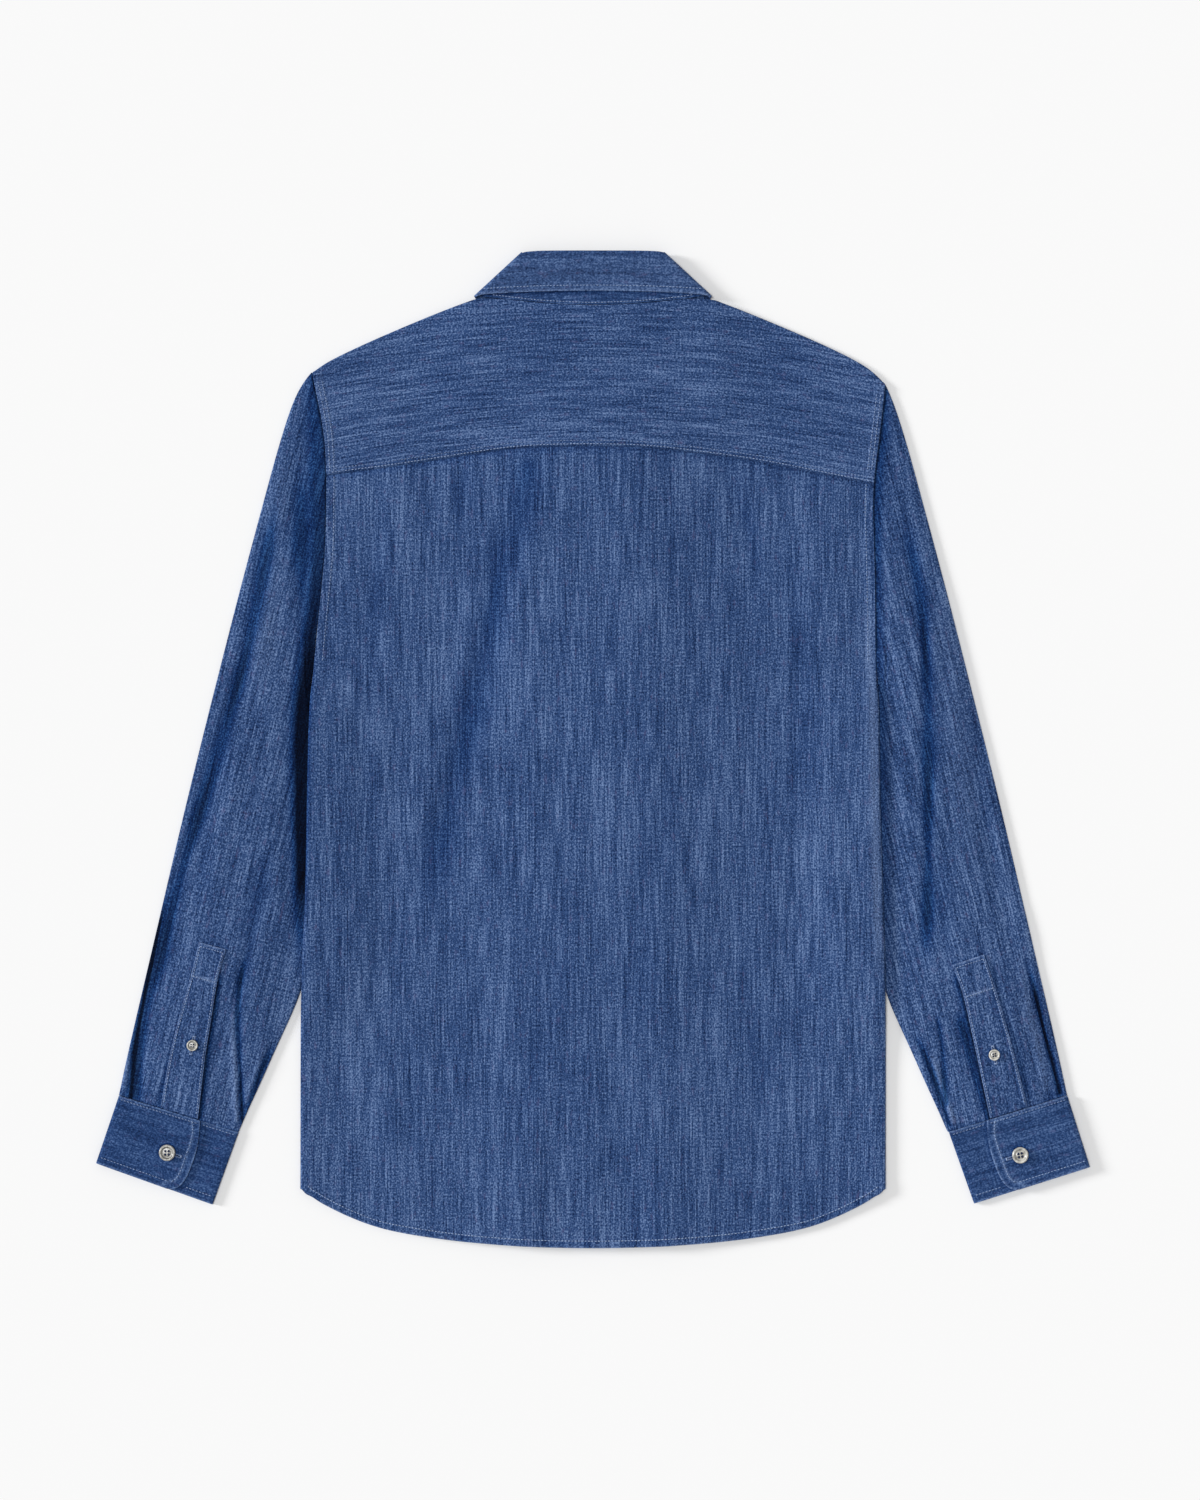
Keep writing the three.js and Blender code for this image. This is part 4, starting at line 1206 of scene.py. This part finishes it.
@dataclass
class Yoke(BowedPiece):
    """The yoke, cut across the grain, which turns over the shoulders to the front seams."""

    LAYER = 40.0
    BOW = 0.00046
    SEAM_BAND = 5.4
    FRONT_SEAM: Path = (
        (72, 307), (94, 317.5), (126, 305), (154.4, 293), (189.5, 277.6), (205, 269.8), (217, 262.5),
    )

    def relief(self, points: Array, heights: Array, facing: Array) -> Relief:
        """Raises the doubled seams of the yoke and drifts its face."""
        relief = Relief.level(len(points))
        above = ease((heights - 1.7 - 2.8 * neck_rise(points)) / 0.6)
        turned = points[:, ::-1]
        relief.rise += 0.8 * ripples(turned)
        seam = beside(points, YOKE_SEAM)
        relief.band(seam, self.SEAM_BAND, 0.12, 0.0)
        # Painted shade along the back seam.
        relief.darken(0.2 * bell(seam.away, 0.9))
        relief.close(seam)
        for side in Side:
            near = beside(points, BODY_SIDE[side])
            relief.rise += 0.25 * ease((ARMHOLE_BAND - near.away) / 1.6)
            relief.pale(0.08 * bell(near.away - 5, 2.6))
            relief.close(near)
        neck = beside(points, NECK_SEAM)
        relief.rise += 0.25 * bell(neck.away, 5)
        # Painted shade along the neck seam.
        relief.darken(0.1 * bell(neck.away, 1.6))
        relief.close(neck)
        relief.rise *= above
        relief.wear_and_highlight *= above
        relief.shade *= above
        return relief

    def rows(self) -> Sequence[SeamRow]:
        """Rows over the back seam, beside both armholes and over the front seams."""
        left = tuple(p for p in BODY_SIDE[Side.LEFT] if p[1] > 213)
        right = tuple(p for p in BODY_SIDE[Side.RIGHT] if p[1] > 214)
        rows = [
            SeamRow(shifted(YOKE_SEAM, 4.6, 5, 5), thick=0.4),
            SeamRow(shifted(YOKE_SEAM, 1.9, 2, 2), thick=0.66),
        ]
        for gap in ARMHOLE_ROWS:
            rows.append(SeamRow(shifted(left, -gap, 1, 6)))
            rows.append(SeamRow(shifted(right, gap, 1, 6)))
        for sign in (-1, 1):
            seam = tuple((sign * x, y) for x, y in self.FRONT_SEAM[1:])
            rows.append(SeamRow(shifted(seam, sign * 4.0, 3, 3), Face.UNDER))
        return rows


@dataclass
class FrontPanel(SidePiece):
    """A front, which lies on the floor under the back."""

    LAYER = 80.0

    def relief(self, points: Array, heights: Array, facing: Array) -> Relief:
        """Creases the front where it lies free, and sinks its hem's stitch line."""
        relief = Relief.level(len(points))
        relief.crease(points, FRONT_FOLDS[self.side])
        beyond = side_edge(points, self.side) - np.abs(points[:, 0])
        relief.rise *= ease((beyond - 34) / 10) * ease((np.abs(points[:, 0]) - 62) / 10)
        hem = beside(points, HEM)
        under = np.clip(-facing, 0, 1)
        relief.rise += under * 0.25 * bell(hem.away - HEM_ROW, 0.9) + settle(points)
        relief.pale(0.4 * bell(hem.away, 1.1))
        relief.slide += corner_drop(points)
        return relief

    def rows(self) -> Sequence[SeamRow]:
        """The hem's row, seen from below."""
        sign = self.side.value
        hem = HEM[:10] if self.side is Side.LEFT else HEM[8:]
        trimmed = tuple(p for p in hem if sign * p[0] > 18)
        return (SeamRow(shifted(trimmed, HEM_ROW, 2, 2), Face.UNDER),)


@dataclass
class FrontPlacket(ClothPiece):
    """The band down the front, with its two rows and its buttonholes, seen from below."""

    LAYER = 120.0
    HALF_WIDTH = 17.5
    ROW = 5.0
    HOLES = tuple(232 - 92 * step for step in range(6))

    def relief(self, points: Array, heights: Array, facing: Array) -> Relief:
        """Sinks the band's stitch lines and wears its edges."""
        relief = Relief.level(len(points))
        inside = self.HALF_WIDTH - np.abs(points[:, 0])
        under = np.clip(-facing, 0, 1)
        relief.rise += under * 0.2 * bell(inside - self.ROW, 0.9) + settle(points)
        relief.wear_and_highlight = 0.4 * bell(inside, 1.0)
        return relief

    def rows(self) -> Sequence[SeamRow]:
        """A row inside each edge of the band."""
        return tuple(
            SeamRow(((x, -381.0), (x, 284.0)), Face.UNDER)
            for x in (-self.HALF_WIDTH + self.ROW, self.HALF_WIDTH - self.ROW)
        )

    def holes(self) -> Sequence[Buttonhole]:
        """An upright buttonhole behind each front button."""
        return tuple(Buttonhole((0.0, float(y)), 90.0, 15.0, Face.UNDER) for y in self.HOLES)


CUFF_CORNERS: dict[Side, tuple[Point, Point, Point, Point]] = {
    Side.LEFT: ((-370.4, -269.8), (-276.4, -298.9), (-388.3, -322.6), (-296.7, -355.3)),
    Side.RIGHT: ((370.6, -269.8), (277.4, -298.6), (388.3, -325.6), (297.2, -354.5)),
}

PLACKET_EDGES: dict[Side, tuple[Path, Path]] = {
    Side.LEFT: (
        ((-307.3, -150.2), (-313, -174.5), (-321, -202.6), (-329.6, -236), (-337, -278.6)),
        ((-286.2, -156), (-292.5, -178), (-297, -207), (-301.9, -236), (-308.1, -288)),
    ),
    Side.RIGHT: (
        ((304.8, -159.9), (312.8, -183), (319.5, -206), (326, -228.7), (338.8, -278.4)),
        ((280.2, -168.1), (288.6, -190.7), (294, -215), (299.5, -240), (309.8, -287.8)),
    ),
}

# Painted shade beside each armhole and the body's edge: height, strength and width.
ARMHOLE_SHADE: dict[Side, tuple[tuple[float, float, float], ...]] = {
    Side.LEFT: (
        (-182, 0.0, 7), (-155, 0.35, 7), (-128, 0.75, 9), (-100, 1.1, 11), (-60, 1.22, 13), (20, 1.22, 14),
        (60, 1.05, 14), (100, 0.85, 14), (150, 0.76, 16), (200, 0.66, 18), (250, 0.55, 17), (280, 0.45, 9),
        (292, 0.3, 4),
    ),
    Side.RIGHT: (
        (-190, 0.0, 5), (-140, 0.25, 6), (-60, 0.4, 8), (60, 0.42, 8), (110, 0.42, 8), (180, 0.52, 9),
        (250, 0.5, 9), (285, 0.3, 4),
    ),
}


@dataclass
class Sleeve(SidePiece):
    """A sleeve: a flat tube from the armhole to the cuff, its inner fold under the body's edge."""

    LAYER = 160.0
    LEAN = 13.5
    LOWER_TOP = 1.3
    WALL = 1.2

    def outside(self, points: Array) -> Array:
        """Distance of each point beyond the body's edge, in millimetres."""
        return np.abs(points[:, 0]) - side_edge(points, self.side)

    def edge_shade(self, points: Array, armhole: Nearest) -> Array:
        """Painted shade in the groove beside the body, from the table of its strength and its width by
        height.

        Args:
            points: The places in plan, in millimetres.
            armhole: Their places beside the armhole.

        Returns:
            The darkness, 0 to a little over 1.
        """
        table = np.array(ARMHOLE_SHADE[self.side])
        strength = np.interp(points[:, 1], table[:, 0], table[:, 1])
        width = np.interp(points[:, 1], table[:, 0], table[:, 2])
        below = points[:, 1] < UNDERARM_Y
        away = np.where(below, np.clip(self.outside(points), 0, None), armhole.away)
        uneven = 1.0 + 0.12 * DRIFT.at(points[:, 1] / 40 + 3, np.full(len(points), 6.0))
        beyond = np.clip(away / (width * uneven) - 0.35, 0, None)
        return strength * bell(beyond, 0.6)

    def placket_shade(self, points: Array) -> Array:
        """Painted shadow that the placket throws beside its two edges, 0 to 1."""
        edges = PLACKET_EDGES[self.side]
        outer, inner = (beside(points, path) for path in edges)
        top = beside(points, (edges[0][0], edges[1][0]))
        low = ease((-170 - points[:, 1]) / 14)
        inner_dark = low * 0.95 * bell(inner.away, 3.4)
        thin = 0.4 * bell(np.minimum(outer.away, top.away), 1.3)
        return np.maximum(inner_dark, thin)

    def relief(self, points: Array, heights: Array, facing: Array) -> Relief:
        """Creases the upper layer, gathers it at the cuff and paints shade into its creases and beside the
        body, the placket and the cuff.
        """
        relief = Relief.level(len(points))
        relief.crease(points, SLEEVE_FOLDS[self.side])
        relief.rise += ripples(points, -self.lean())
        top = CUFF_CORNERS[self.side][:2]
        cuff = beside(points, top)
        gather = RUCK.at(cuff.along / 6.0 + 10, np.full(len(points), 8.5)) * bell(cuff.away, 34)
        relief.rise += 0.55 * gather
        # Painted shade in the gathers above the cuff.
        relief.darken(0.4 * np.clip(-gather, 0, 1))
        away = self.outside(points)
        beside_body = ease((UNDERARM_Y + 10 - points[:, 1]) / 12) * ease((points[:, 1] + 240) / 20)
        free = 1 - beside_body * (1 - ease((away - 2) / 10))
        upper = ease((heights - self.LOWER_TOP) / 0.5)
        relief.rise *= free * upper
        armhole = beside(points, BODY_SIDE[self.side])
        over = ease((points[:, 1] - UNDERARM_Y) / 10)
        relief.rise -= 0.3 * over * bell(armhole.away, 2.6) * upper
        # Painted shade beside the armhole seam, in the groove beside the body, beside the placket and along
        # the cuff seam.
        relief.darken(over * bell(armhole.away, 3.0))
        relief.darken(self.edge_shade(points, armhole))
        relief.darken(self.placket_shade(points))
        relief.darken(0.5 * bell(cuff.away, 1.3))
        relief.shade *= upper
        relief.close(armhole, ease(points[:, 1] / 10))
        relief.close(cuff)
        lowest = self.LOWER_TOP + np.where(facing > 0, self.WALL, 0.0)
        held = np.maximum(relief.rise, np.minimum(lowest - heights, 0))
        relief.rise = np.where(upper > 0, held, relief.rise)
        return relief


@dataclass
class SleevePlacket(SidePiece):
    """The strip over the slit above a cuff, boxed at its top."""

    button: Point = (0.0, 0.0)
    LAYER = 200.0
    LEAN = 10.5
    INSET = 1.7
    BOX_DEPTH = 24.0

    def relief(self, points: Array, heights: Array, facing: Array) -> Relief:
        """Wears the strip's edges, paints shade in a line inside each edge and round the button, and ruffles
        it a little.
        """
        relief = Relief.level(len(points))
        outer, inner = PLACKET_EDGES[self.side]
        edges = ((outer, 0.42), (inner, 0.3), ((outer[0], inner[0]), 0.75))
        for path, worn in edges:
            near = beside(points, path)
            relief.pale(worn * bell(near.away, 0.9))
            # Painted shade in a line inside each edge.
            relief.darken(0.22 * bell(near.away - 3.0, 1.2))
        foot = beside(points, self.foot(*self.lines()))
        relief.pale(0.6 * bell(foot.away, 0.8))
        relief.darken(button_shade(points, self.button, 4.4))
        relief.rise += 0.12 * RUCK.at(points[:, 0] / 7, points[:, 1] / 5)
        return relief

    def lines(self) -> tuple[Path, Path]:
        """The stitch lines inside the outer and the inner edge."""
        outer, inner = PLACKET_EDGES[self.side]
        inward = self.INSET * -self.side.value
        return shifted(outer, inward, 1, 1), shifted(inner, -inward, 1, 1)

    def foot(self, outer: Path, inner: Path) -> Path:
        """The stitch line across the foot of the box."""
        ends = [smooth_path(path, 1.0)[int(self.BOX_DEPTH)] for path in (outer, inner)]
        return tuple((float(x), float(y)) for x, y in ends)

    def rows(self) -> Sequence[SeamRow]:
        """Rows inside both edges, across the top, and across the foot of the box."""
        outer, inner = self.lines()
        fine = {"pitch": 2.3, "stitch": 1.6, "thick": 0.62}
        return (
            SeamRow(outer, **fine), SeamRow(inner, **fine), SeamRow((outer[0], inner[0]), **fine),
            SeamRow(self.foot(outer, inner), **fine),
        )

    def holes(self) -> Sequence[Buttonhole]:
        """An upright buttonhole behind the strip's button."""
        return (Buttonhole(self.button, 90.0 + self.lean(), 12.5),)


@dataclass
class Cuff(SidePiece):
    """A barrel cuff, closed over itself with a rounded end."""

    button: Point = (0.0, 0.0)
    LAYER = 240.0
    LEAN = 17.5
    WARP = 90.0
    DYE = {Side.LEFT: 0.2, Side.RIGHT: 0.12}
    END = (
        (0.68, 0.0), (0.72, 0.15), (0.735, 0.32), (0.735, 0.55),
        (0.735, 0.7), (0.725, 0.82), (0.69, 0.94), (0.63, 1.0),
    )

    def spread(self, share: float, down: float) -> Point:
        """A place on the flat cuff, by its share from the outer fold and from the sleeve."""
        corners = [np.array(corner) for corner in CUFF_CORNERS[self.side]]
        top = corners[0] * (1 - share) + corners[1] * share
        foot = corners[2] * (1 - share) + corners[3] * share
        spot = top * (1 - down) + foot * down
        return float(spot[0]), float(spot[1])

    def line(self, places: Sequence[Point]) -> Path:
        """Turns shares into a path in millimetres."""
        return tuple(self.spread(*place) for place in places)

    def relief(self, points: Array, heights: Array, facing: Array) -> Relief:
        """Wears the cuff's edges, paints shade inside them and under the step at its rounded end, paints the
        button's shadow, and darkens the whole cuff to its own tone.
        """
        relief = Relief.level(len(points))
        end = beside(points, self.line(self.END), 3.0)
        over = ease((heights - 4.3) / 0.4)
        edges = (((0.0, 0.0), (1.0, 0.0)), ((0.0, 1.0), (1.0, 1.0)))
        for edge in edges:
            near = beside(points, self.line(edge))
            relief.pale(0.55 * bell(near.away, 1.1))
            # Painted shade along the stitch line inside each edge.
            relief.darken(0.16 * bell(near.away - 3.6, 1.4))
        relief.pale(over * 0.95 * bell(end.away, 1.1))
        relief.pale(over * 0.5 * bell(end.away - 6.5, 1.2))
        # Painted shade between the end's two pale lines, and a painted shadow under the step of the
        # overlapping end.
        relief.darken(over * 0.25 * bell(end.away - 3.4, 1.5))
        relief.darken((1 - over) * 0.35 * bell(end.away, 2.2))
        relief.darken(button_shade(points, self.button, 6.4))
        relief.darken(self.DYE[self.side])
        relief.rise += 0.22 * RUCK.at(points[:, 0] / 13, points[:, 1] / 9) * ease((heights - 3.2) / 0.6)
        return relief

    def rows(self) -> Sequence[SeamRow]:
        """Rows below the sleeve seam, above the foot and inside the rounded end."""
        inset, foot = 0.07, 0.9
        end = tuple((share - inset, min(down, foot)) for share, down in self.END)
        return (
            SeamRow(self.line(((0.03, 0.045), (0.67, 0.045)))),
            SeamRow(self.line(((0.71, 0.045), (0.98, 0.045)))),
            SeamRow(self.line(((0.03, foot), (0.6, foot)))),
            SeamRow(self.line(((0.75, foot), (0.97, foot)))),
            SeamRow(self.line((end[0], *end[1:7]))),
        )

    def holes(self) -> Sequence[Buttonhole]:
        """A buttonhole along the cuff, behind its button."""
        reach = 3.2 * -self.side.value
        at = (self.button[0] + reach, self.button[1] + self.side.value * reach * 0.3)
        return (Buttonhole(at, self.lean(), 14.0),)


@dataclass
class CollarStand(BowedPiece):
    """The band that carries the collar leaf, buttoned at the front, under the shirt."""

    LAYER = 280.0
    BOW = 0.0009

    def relief(self, points: Array, heights: Array, facing: Array) -> Relief:
        """Paints a faint shade over the stand, deeper under the leaf's edge, and draws it shut at the neck
        seam.
        """
        relief = Relief.level(len(points))
        seam = beside(points, NECK_SEAM)
        above = ease((heights - 4.0) / 1.0)
        leaf = beside(points, CollarLeaf.EDGE)
        # Painted shade, faint all over and deeper under the leaf's edge.
        relief.shade = above * (0.06 + 0.4 * bell(leaf.away, 1.8))
        relief.close(seam, above)
        return relief

    def rows(self) -> Sequence[SeamRow]:
        """One row over the neck seam."""
        return (SeamRow(shifted(NECK_SEAM, 2.2, 6, 6), pitch=2.5, stitch=1.8),)


@dataclass
class CollarLeaf(BowedPiece):
    """The folded-down leaf: over the stand at the back, with its two points under the shirt."""

    LAYER = 320.0
    BOW = 0.0004
    ROW = 4.2
    EDGE: Path = (
        (-91, 354.6), (-68, 356), (-42, 357), (-20, 357.4), (0, 357.5),
        (20, 357.4), (42, 357), (68, 356), (91, 354.6),
    )
    WING: Path = ((14.5, 318), (35, 297), (56, 274.5), (66, 298), (76, 321), (84, 343))
    TOP: Path = ((-53, 388.2), (0, 388.7), (53, 388.2))

    def relief(self, points: Array, heights: Array, facing: Array) -> Relief:
        """Wears the leaf's edge, sinks its stitch line, and paints shade along its top fold."""
        relief = Relief.level(len(points))
        above = ease((heights - 2.6) / 1.0)
        near = beside(points, self.EDGE)
        up = np.clip(facing, 0, 1)
        relief.rise -= above * up * 0.22 * bell(near.away - self.ROW, 0.9)
        relief.rise += above * 0.16 * RUCK.at(points[:, 0] / 16, points[:, 1] / 9)
        relief.wear_and_highlight = above * (0.07 + 0.45 * bell(near.away, 1.1))
        # Painted shade where the leaf rolls over at its top.
        top = beside(points, self.TOP)
        relief.shade = above * 0.16 * bell(top.away, 5.0)
        return relief

    def rows(self) -> Sequence[SeamRow]:
        """A row inside the leaf's edge, and round its points below."""
        wings = tuple(
            SeamRow(tuple((sign * (x + 3.2), y) for x, y in self.WING), Face.UNDER) for sign in (-1, 1)
        )
        return (SeamRow(shifted(self.EDGE, self.ROW, 3, 3)), *wings)


@dataclass
class ShirtButton:
    """A four-hole button with a rolled rim round a dished middle, sewn on with indigo thread.

    Attributes:
        node: The solid's name.
        tip: How far its holes are turned, in degrees.
        below: Depth of the thread that joins it to the cloth, in metres.
    """

    node: str
    tip: float = 0.0
    below: float = 0.7 * MM
    STEPS = 40
    HOLE = 0.15
    SPACING = 0.2
    SMOKE = {
        "button_cuff_left": 0.34, "button_sleeve_left": 0.3,
        "button_cuff_right": 0.06, "button_sleeve_right": 0.0,
    }
    PROFILE: tuple[Point, ...] = (
        (0.0, 0.0), (0.55, 0.0), (0.78, 0.06), (0.93, 0.2), (1.0, 0.42), (1.0, 0.62), (0.97, 0.84),
        (0.91, 0.97), (0.84, 1.0), (0.76, 0.96), (0.7, 0.82), (0.66, 0.6), (0.6, 0.52), (0.5, 0.56),
        (0.3, 0.6), (0.0, 0.6),
    )

    def hole_angles(self) -> tuple[float, ...]:
        """The directions of the four holes from the middle, in radians."""
        return tuple(math.radians(self.tip + 45 + 90 * step) for step in range(4))

    def turned(self, radius: float, height: float) -> bpy.types.Object:
        """Turns the button's profile round its axis.

        Args:
            radius: Its radius in metres.
            height: Its height in metres.

        Returns:
            The disc, standing on the origin.
        """
        mesh = bmesh.new()
        line = [mesh.verts.new((share * radius, 0.0, level * height)) for share, level in self.PROFILE]
        edges = [mesh.edges.new(pair) for pair in zip(line, line[1:])]
        bmesh.ops.spin(
            mesh, geom=[*line, *edges], cent=(0, 0, 0), axis=(0, 0, 1), angle=math.tau, steps=self.STEPS,
            use_merge=True,
        )
        bmesh.ops.remove_doubles(mesh, verts=mesh.verts, dist=1e-6)
        bmesh.ops.recalc_face_normals(mesh, faces=mesh.faces)
        return finished(mesh, f"turned_{self.node}")

    def pins(
        self, radius: float, height: float, share: float, low: float, high: float
    ) -> bmesh.types.BMesh:
        """Makes a pin through each of the four holes.

        Args:
            radius: The button's radius in metres.
            height: The button's height in metres.
            share: A pin's radius as a share of the button's.
            low: Where the pins start, as a share of the height.
            high: Where the pins end.

        Returns:
            The four pins.
        """
        mesh = bmesh.new()
        for angle in self.hole_angles():
            reach = self.SPACING * radius * math.sqrt(2)
            middle = Vector((math.cos(angle) * reach, math.sin(angle) * reach, height * (low + high) / 2))
            bmesh.ops.create_cone(
                mesh, cap_ends=True, segments=12, radius1=share * radius, radius2=share * radius,
                depth=height * (high - low), matrix=Matrix.Translation(middle),
            )
        return mesh

    def drilled(self, disc: bpy.types.Object, radius: float, height: float) -> None:
        """Cuts the four holes."""
        cutter = finished(self.pins(radius, height, self.HOLE, -0.5, 1.6), "drill")
        cut = disc.modifiers.new("holes", "BOOLEAN")
        cut.operation = "DIFFERENCE"
        cut.solver = "EXACT"
        cut.object = cutter
        applied(disc)
        bpy.data.objects.remove(cutter)

    def build(self) -> None:
        """Makes the button and its thread where the solid is."""
        low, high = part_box(self.node)
        radius, height = (high.x - low.x) / 2, high.z - low.z
        up = "front" not in self.node and "stand" not in self.node
        middle = Vector(((low.x + high.x) / 2, (low.y + high.y) / 2, low.z if up else high.z))
        place = Matrix.Translation(middle)
        if not up:
            place = place @ Matrix.Rotation(math.pi, 4, "X")
        disc = self.turned(radius, height)
        self.drilled(disc, radius, height)
        disc.name = f"shell_{self.node}"
        disc.data.transform(place)
        disc.data.shade_smooth()
        disc.data.set_sharp_from_angle(angle=math.radians(38))
        disc.data.materials.append(FINISHES.get(Finishes.SHELL))
        self.age(disc, radius)
        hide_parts(self.node)
        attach(disc, "root")
        self.sewn(radius, height, place)
        LOG.info("%s: radius %.1f mm", disc.name, radius / MM)

    def age(self, disc: bpy.types.Object, radius: float) -> None:
        """Marks where the shell is darker: its own smoky tone all over, painted shade in the ring inside the
        rim and round the holes, and a little darker inside the ring.

        Args:
            disc: The button, in its place.
            radius: Its radius in metres.
        """
        places = vectors(disc.data, "co")
        middle = (places.max(axis=0) + places.min(axis=0)) / 2
        share = np.hypot(*(places - middle)[:, :2].T) / radius
        # Own smoky tone of each button, painted shade in the groove inside the rim, and a little darker
        # inside the ring.
        smoke = self.SMOKE.get(self.node, 0.1) + 0.3 * bell(share - 0.66, 0.08) + 0.14 * (share < 0.6)
        for angle in self.hole_angles():
            reach = self.SPACING * math.sqrt(2)
            spot = middle[:2] / radius + reach * np.array((math.cos(angle), math.sin(angle)))
            gap = np.hypot(*(places[:, :2] / radius - spot).T)
            # Painted shade round each hole.
            smoke = np.maximum(smoke, 0.9 * (gap < self.HOLE * 1.2))
        store(disc.data, "smoke", smoke)

    def sewn(self, radius: float, height: float, place: Matrix) -> None:
        """Fills the holes with thread and winds a short shank under the button."""
        mesh = self.pins(radius, height, self.HOLE * 0.86, -0.1, 0.44)
        shank = self.below + 0.1 * height
        bmesh.ops.create_cone(
            mesh, cap_ends=True, segments=14, radius1=0.42 * radius, radius2=0.36 * radius, depth=shank,
            matrix=Matrix.Translation((0, 0, 0.1 * height - shank / 2)),
        )
        made = finished(mesh, f"sewn_{self.node}", place)
        made.data.materials.append(FINISHES.get(Finishes.DARK_THREAD))
        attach(made, "root")


@dataclass(frozen=True)
class Studio:
    """The pale floor, the light and the camera."""

    FLOOR_SIZE = 60.0
    FLOOR_LEVEL = -0.0002
    FLOOR_PAINT = (0.915, 0.915, 0.915, 1.0)
    CAMERA_PLACE = (0.00546, -0.0004, 3.255)
    LENS = 100.0
    SENSOR = 36.0
    WORLD = 0.36
    SUNS: tuple[tuple[str, float, float, float], ...] = (
        ("sun_above", 1.36, 78.0, 20.0), ("sun_low", 2.6, 18.0, 13.0),
    )
    SUN_FROM = 168.0

    def floor(self) -> None:
        """Lays the floor."""
        mesh = bmesh.new()
        place = Matrix.Translation((0, 0, self.FLOOR_LEVEL))
        bmesh.ops.create_grid(mesh, x_segments=1, y_segments=1, size=self.FLOOR_SIZE / 2, matrix=place)
        made = finished(mesh, "studio_floor")
        paint = {"Base Color": self.FLOOR_PAINT, "Roughness": 1.0, "Specular IOR Level": 0.0}
        made.data.materials.append(Nodes("studio_floor").into_shader(paint))

    def light(self) -> None:
        """Lights the scene from above and all round, with a soft low light from the upper left."""
        world = bpy.data.worlds.new("studio")
        world.use_nodes = True
        back = world.node_tree.nodes["Background"]
        back.inputs["Color"].default_value = (1.0, 1.0, 1.0, 1.0)
        back.inputs["Strength"].default_value = self.WORLD
        bpy.context.scene.world = world
        turn = math.radians(self.SUN_FROM)
        for name, energy, height, softness in self.SUNS:
            sun = bpy.data.lights.new(name, "SUN")
            sun.energy = energy
            sun.angle = math.radians(softness)
            made = bpy.data.objects.new(name, sun)
            rise = math.radians(height)
            reach = math.cos(rise)
            toward = Vector((math.cos(turn) * reach, math.sin(turn) * reach, math.sin(rise)))
            made.rotation_euler = toward.to_track_quat("Z", "Y").to_euler()
            bpy.context.scene.collection.objects.link(made)

    def camera(self) -> None:
        """Hangs the camera straight above the shirt."""
        data = bpy.data.cameras.new("camera_above")
        data.lens = self.LENS
        data.sensor_width = self.SENSOR
        made = bpy.data.objects.new("camera_above", data)
        made.location = self.CAMERA_PLACE
        bpy.context.scene.collection.objects.link(made)
        bpy.context.scene.camera = made

    def set_up(self) -> None:
        """Sets up the whole studio."""
        self.camera()
        self.light()
        self.floor()
        bpy.context.scene.view_settings.view_transform = "Standard"


def body_pieces() -> list[ClothPiece]:
    """Lists the pieces of the body."""
    fronts = [
        FrontPanel(
            f"front_{side.label}", (0.246, 0.73), 0.161, ("floor", "front_placket"), levels=2, side=side,
        )
        for side in Side
    ]
    return [
        BackPanel("back", (0.457, 0.625), 0.270, ("front_left", "front_right")),
        Yoke("yoke", (0.448, 0.175), 0.0563, ("front_left", "front_right")),
        *fronts,
        FrontPlacket("front_placket", (0.035, 0.676), 0.0236, ("button_front_1",)),
    ]


def collar_pieces() -> list[ClothPiece]:
    """Lists the pieces of the collar."""
    return [
        CollarStand("collar_stand", (0.40, 0.038), 0.0148, ("yoke",), Finishes.FIRM),
        CollarLeaf("collar_leaf", (0.40, 0.045), 0.0154, ("collar_stand", "yoke"), Finishes.FIRM),
    ]


def sleeve_pieces(side: Side) -> list[ClothPiece]:
    """Lists the pieces of one sleeve."""
    small, large = (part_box(f"button_{where}_{side.label}") for where in ("sleeve", "cuff"))
    spots = [tuple((low + high)[axis] / 2 / MM for axis in range(2)) for low, high in (small, large)]
    area = 0.0971 if side is Side.LEFT else 0.0928
    return [
        Sleeve(f"sleeve_{side.label}", (0.30, 0.60), area, ("floor",), side=side),
        SleevePlacket(
            f"sleeve_placket_{side.label}", (0.031, 0.138), 0.0034, (f"sleeve_{side.label}",),
            side=side, button=spots[0],
        ),
        Cuff(
            f"cuff_{side.label}", (0.235, 0.058), 0.0129, ("floor",), Finishes.FIRM,
            side=side, button=spots[1],
        ),
    ]


def buttons() -> list[ShirtButton]:
    """Lists the buttons, from the names of their solids."""
    names = sorted(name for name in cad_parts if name.startswith("button_"))
    return [ShirtButton(name, tip=11.0 * place) for place, name in enumerate(names)]


def main() -> None:
    """Sets up the studio and makes every piece."""
    logging.basicConfig(level=logging.INFO, format="%(name)s: %(message)s")
    Studio().set_up()
    pieces = [*body_pieces(), *collar_pieces(), *sleeve_pieces(Side.LEFT), *sleeve_pieces(Side.RIGHT)]
    for piece in pieces:
        piece.build()
    for button in buttons():
        button.build()


if __name__ == "__main__":
    main()
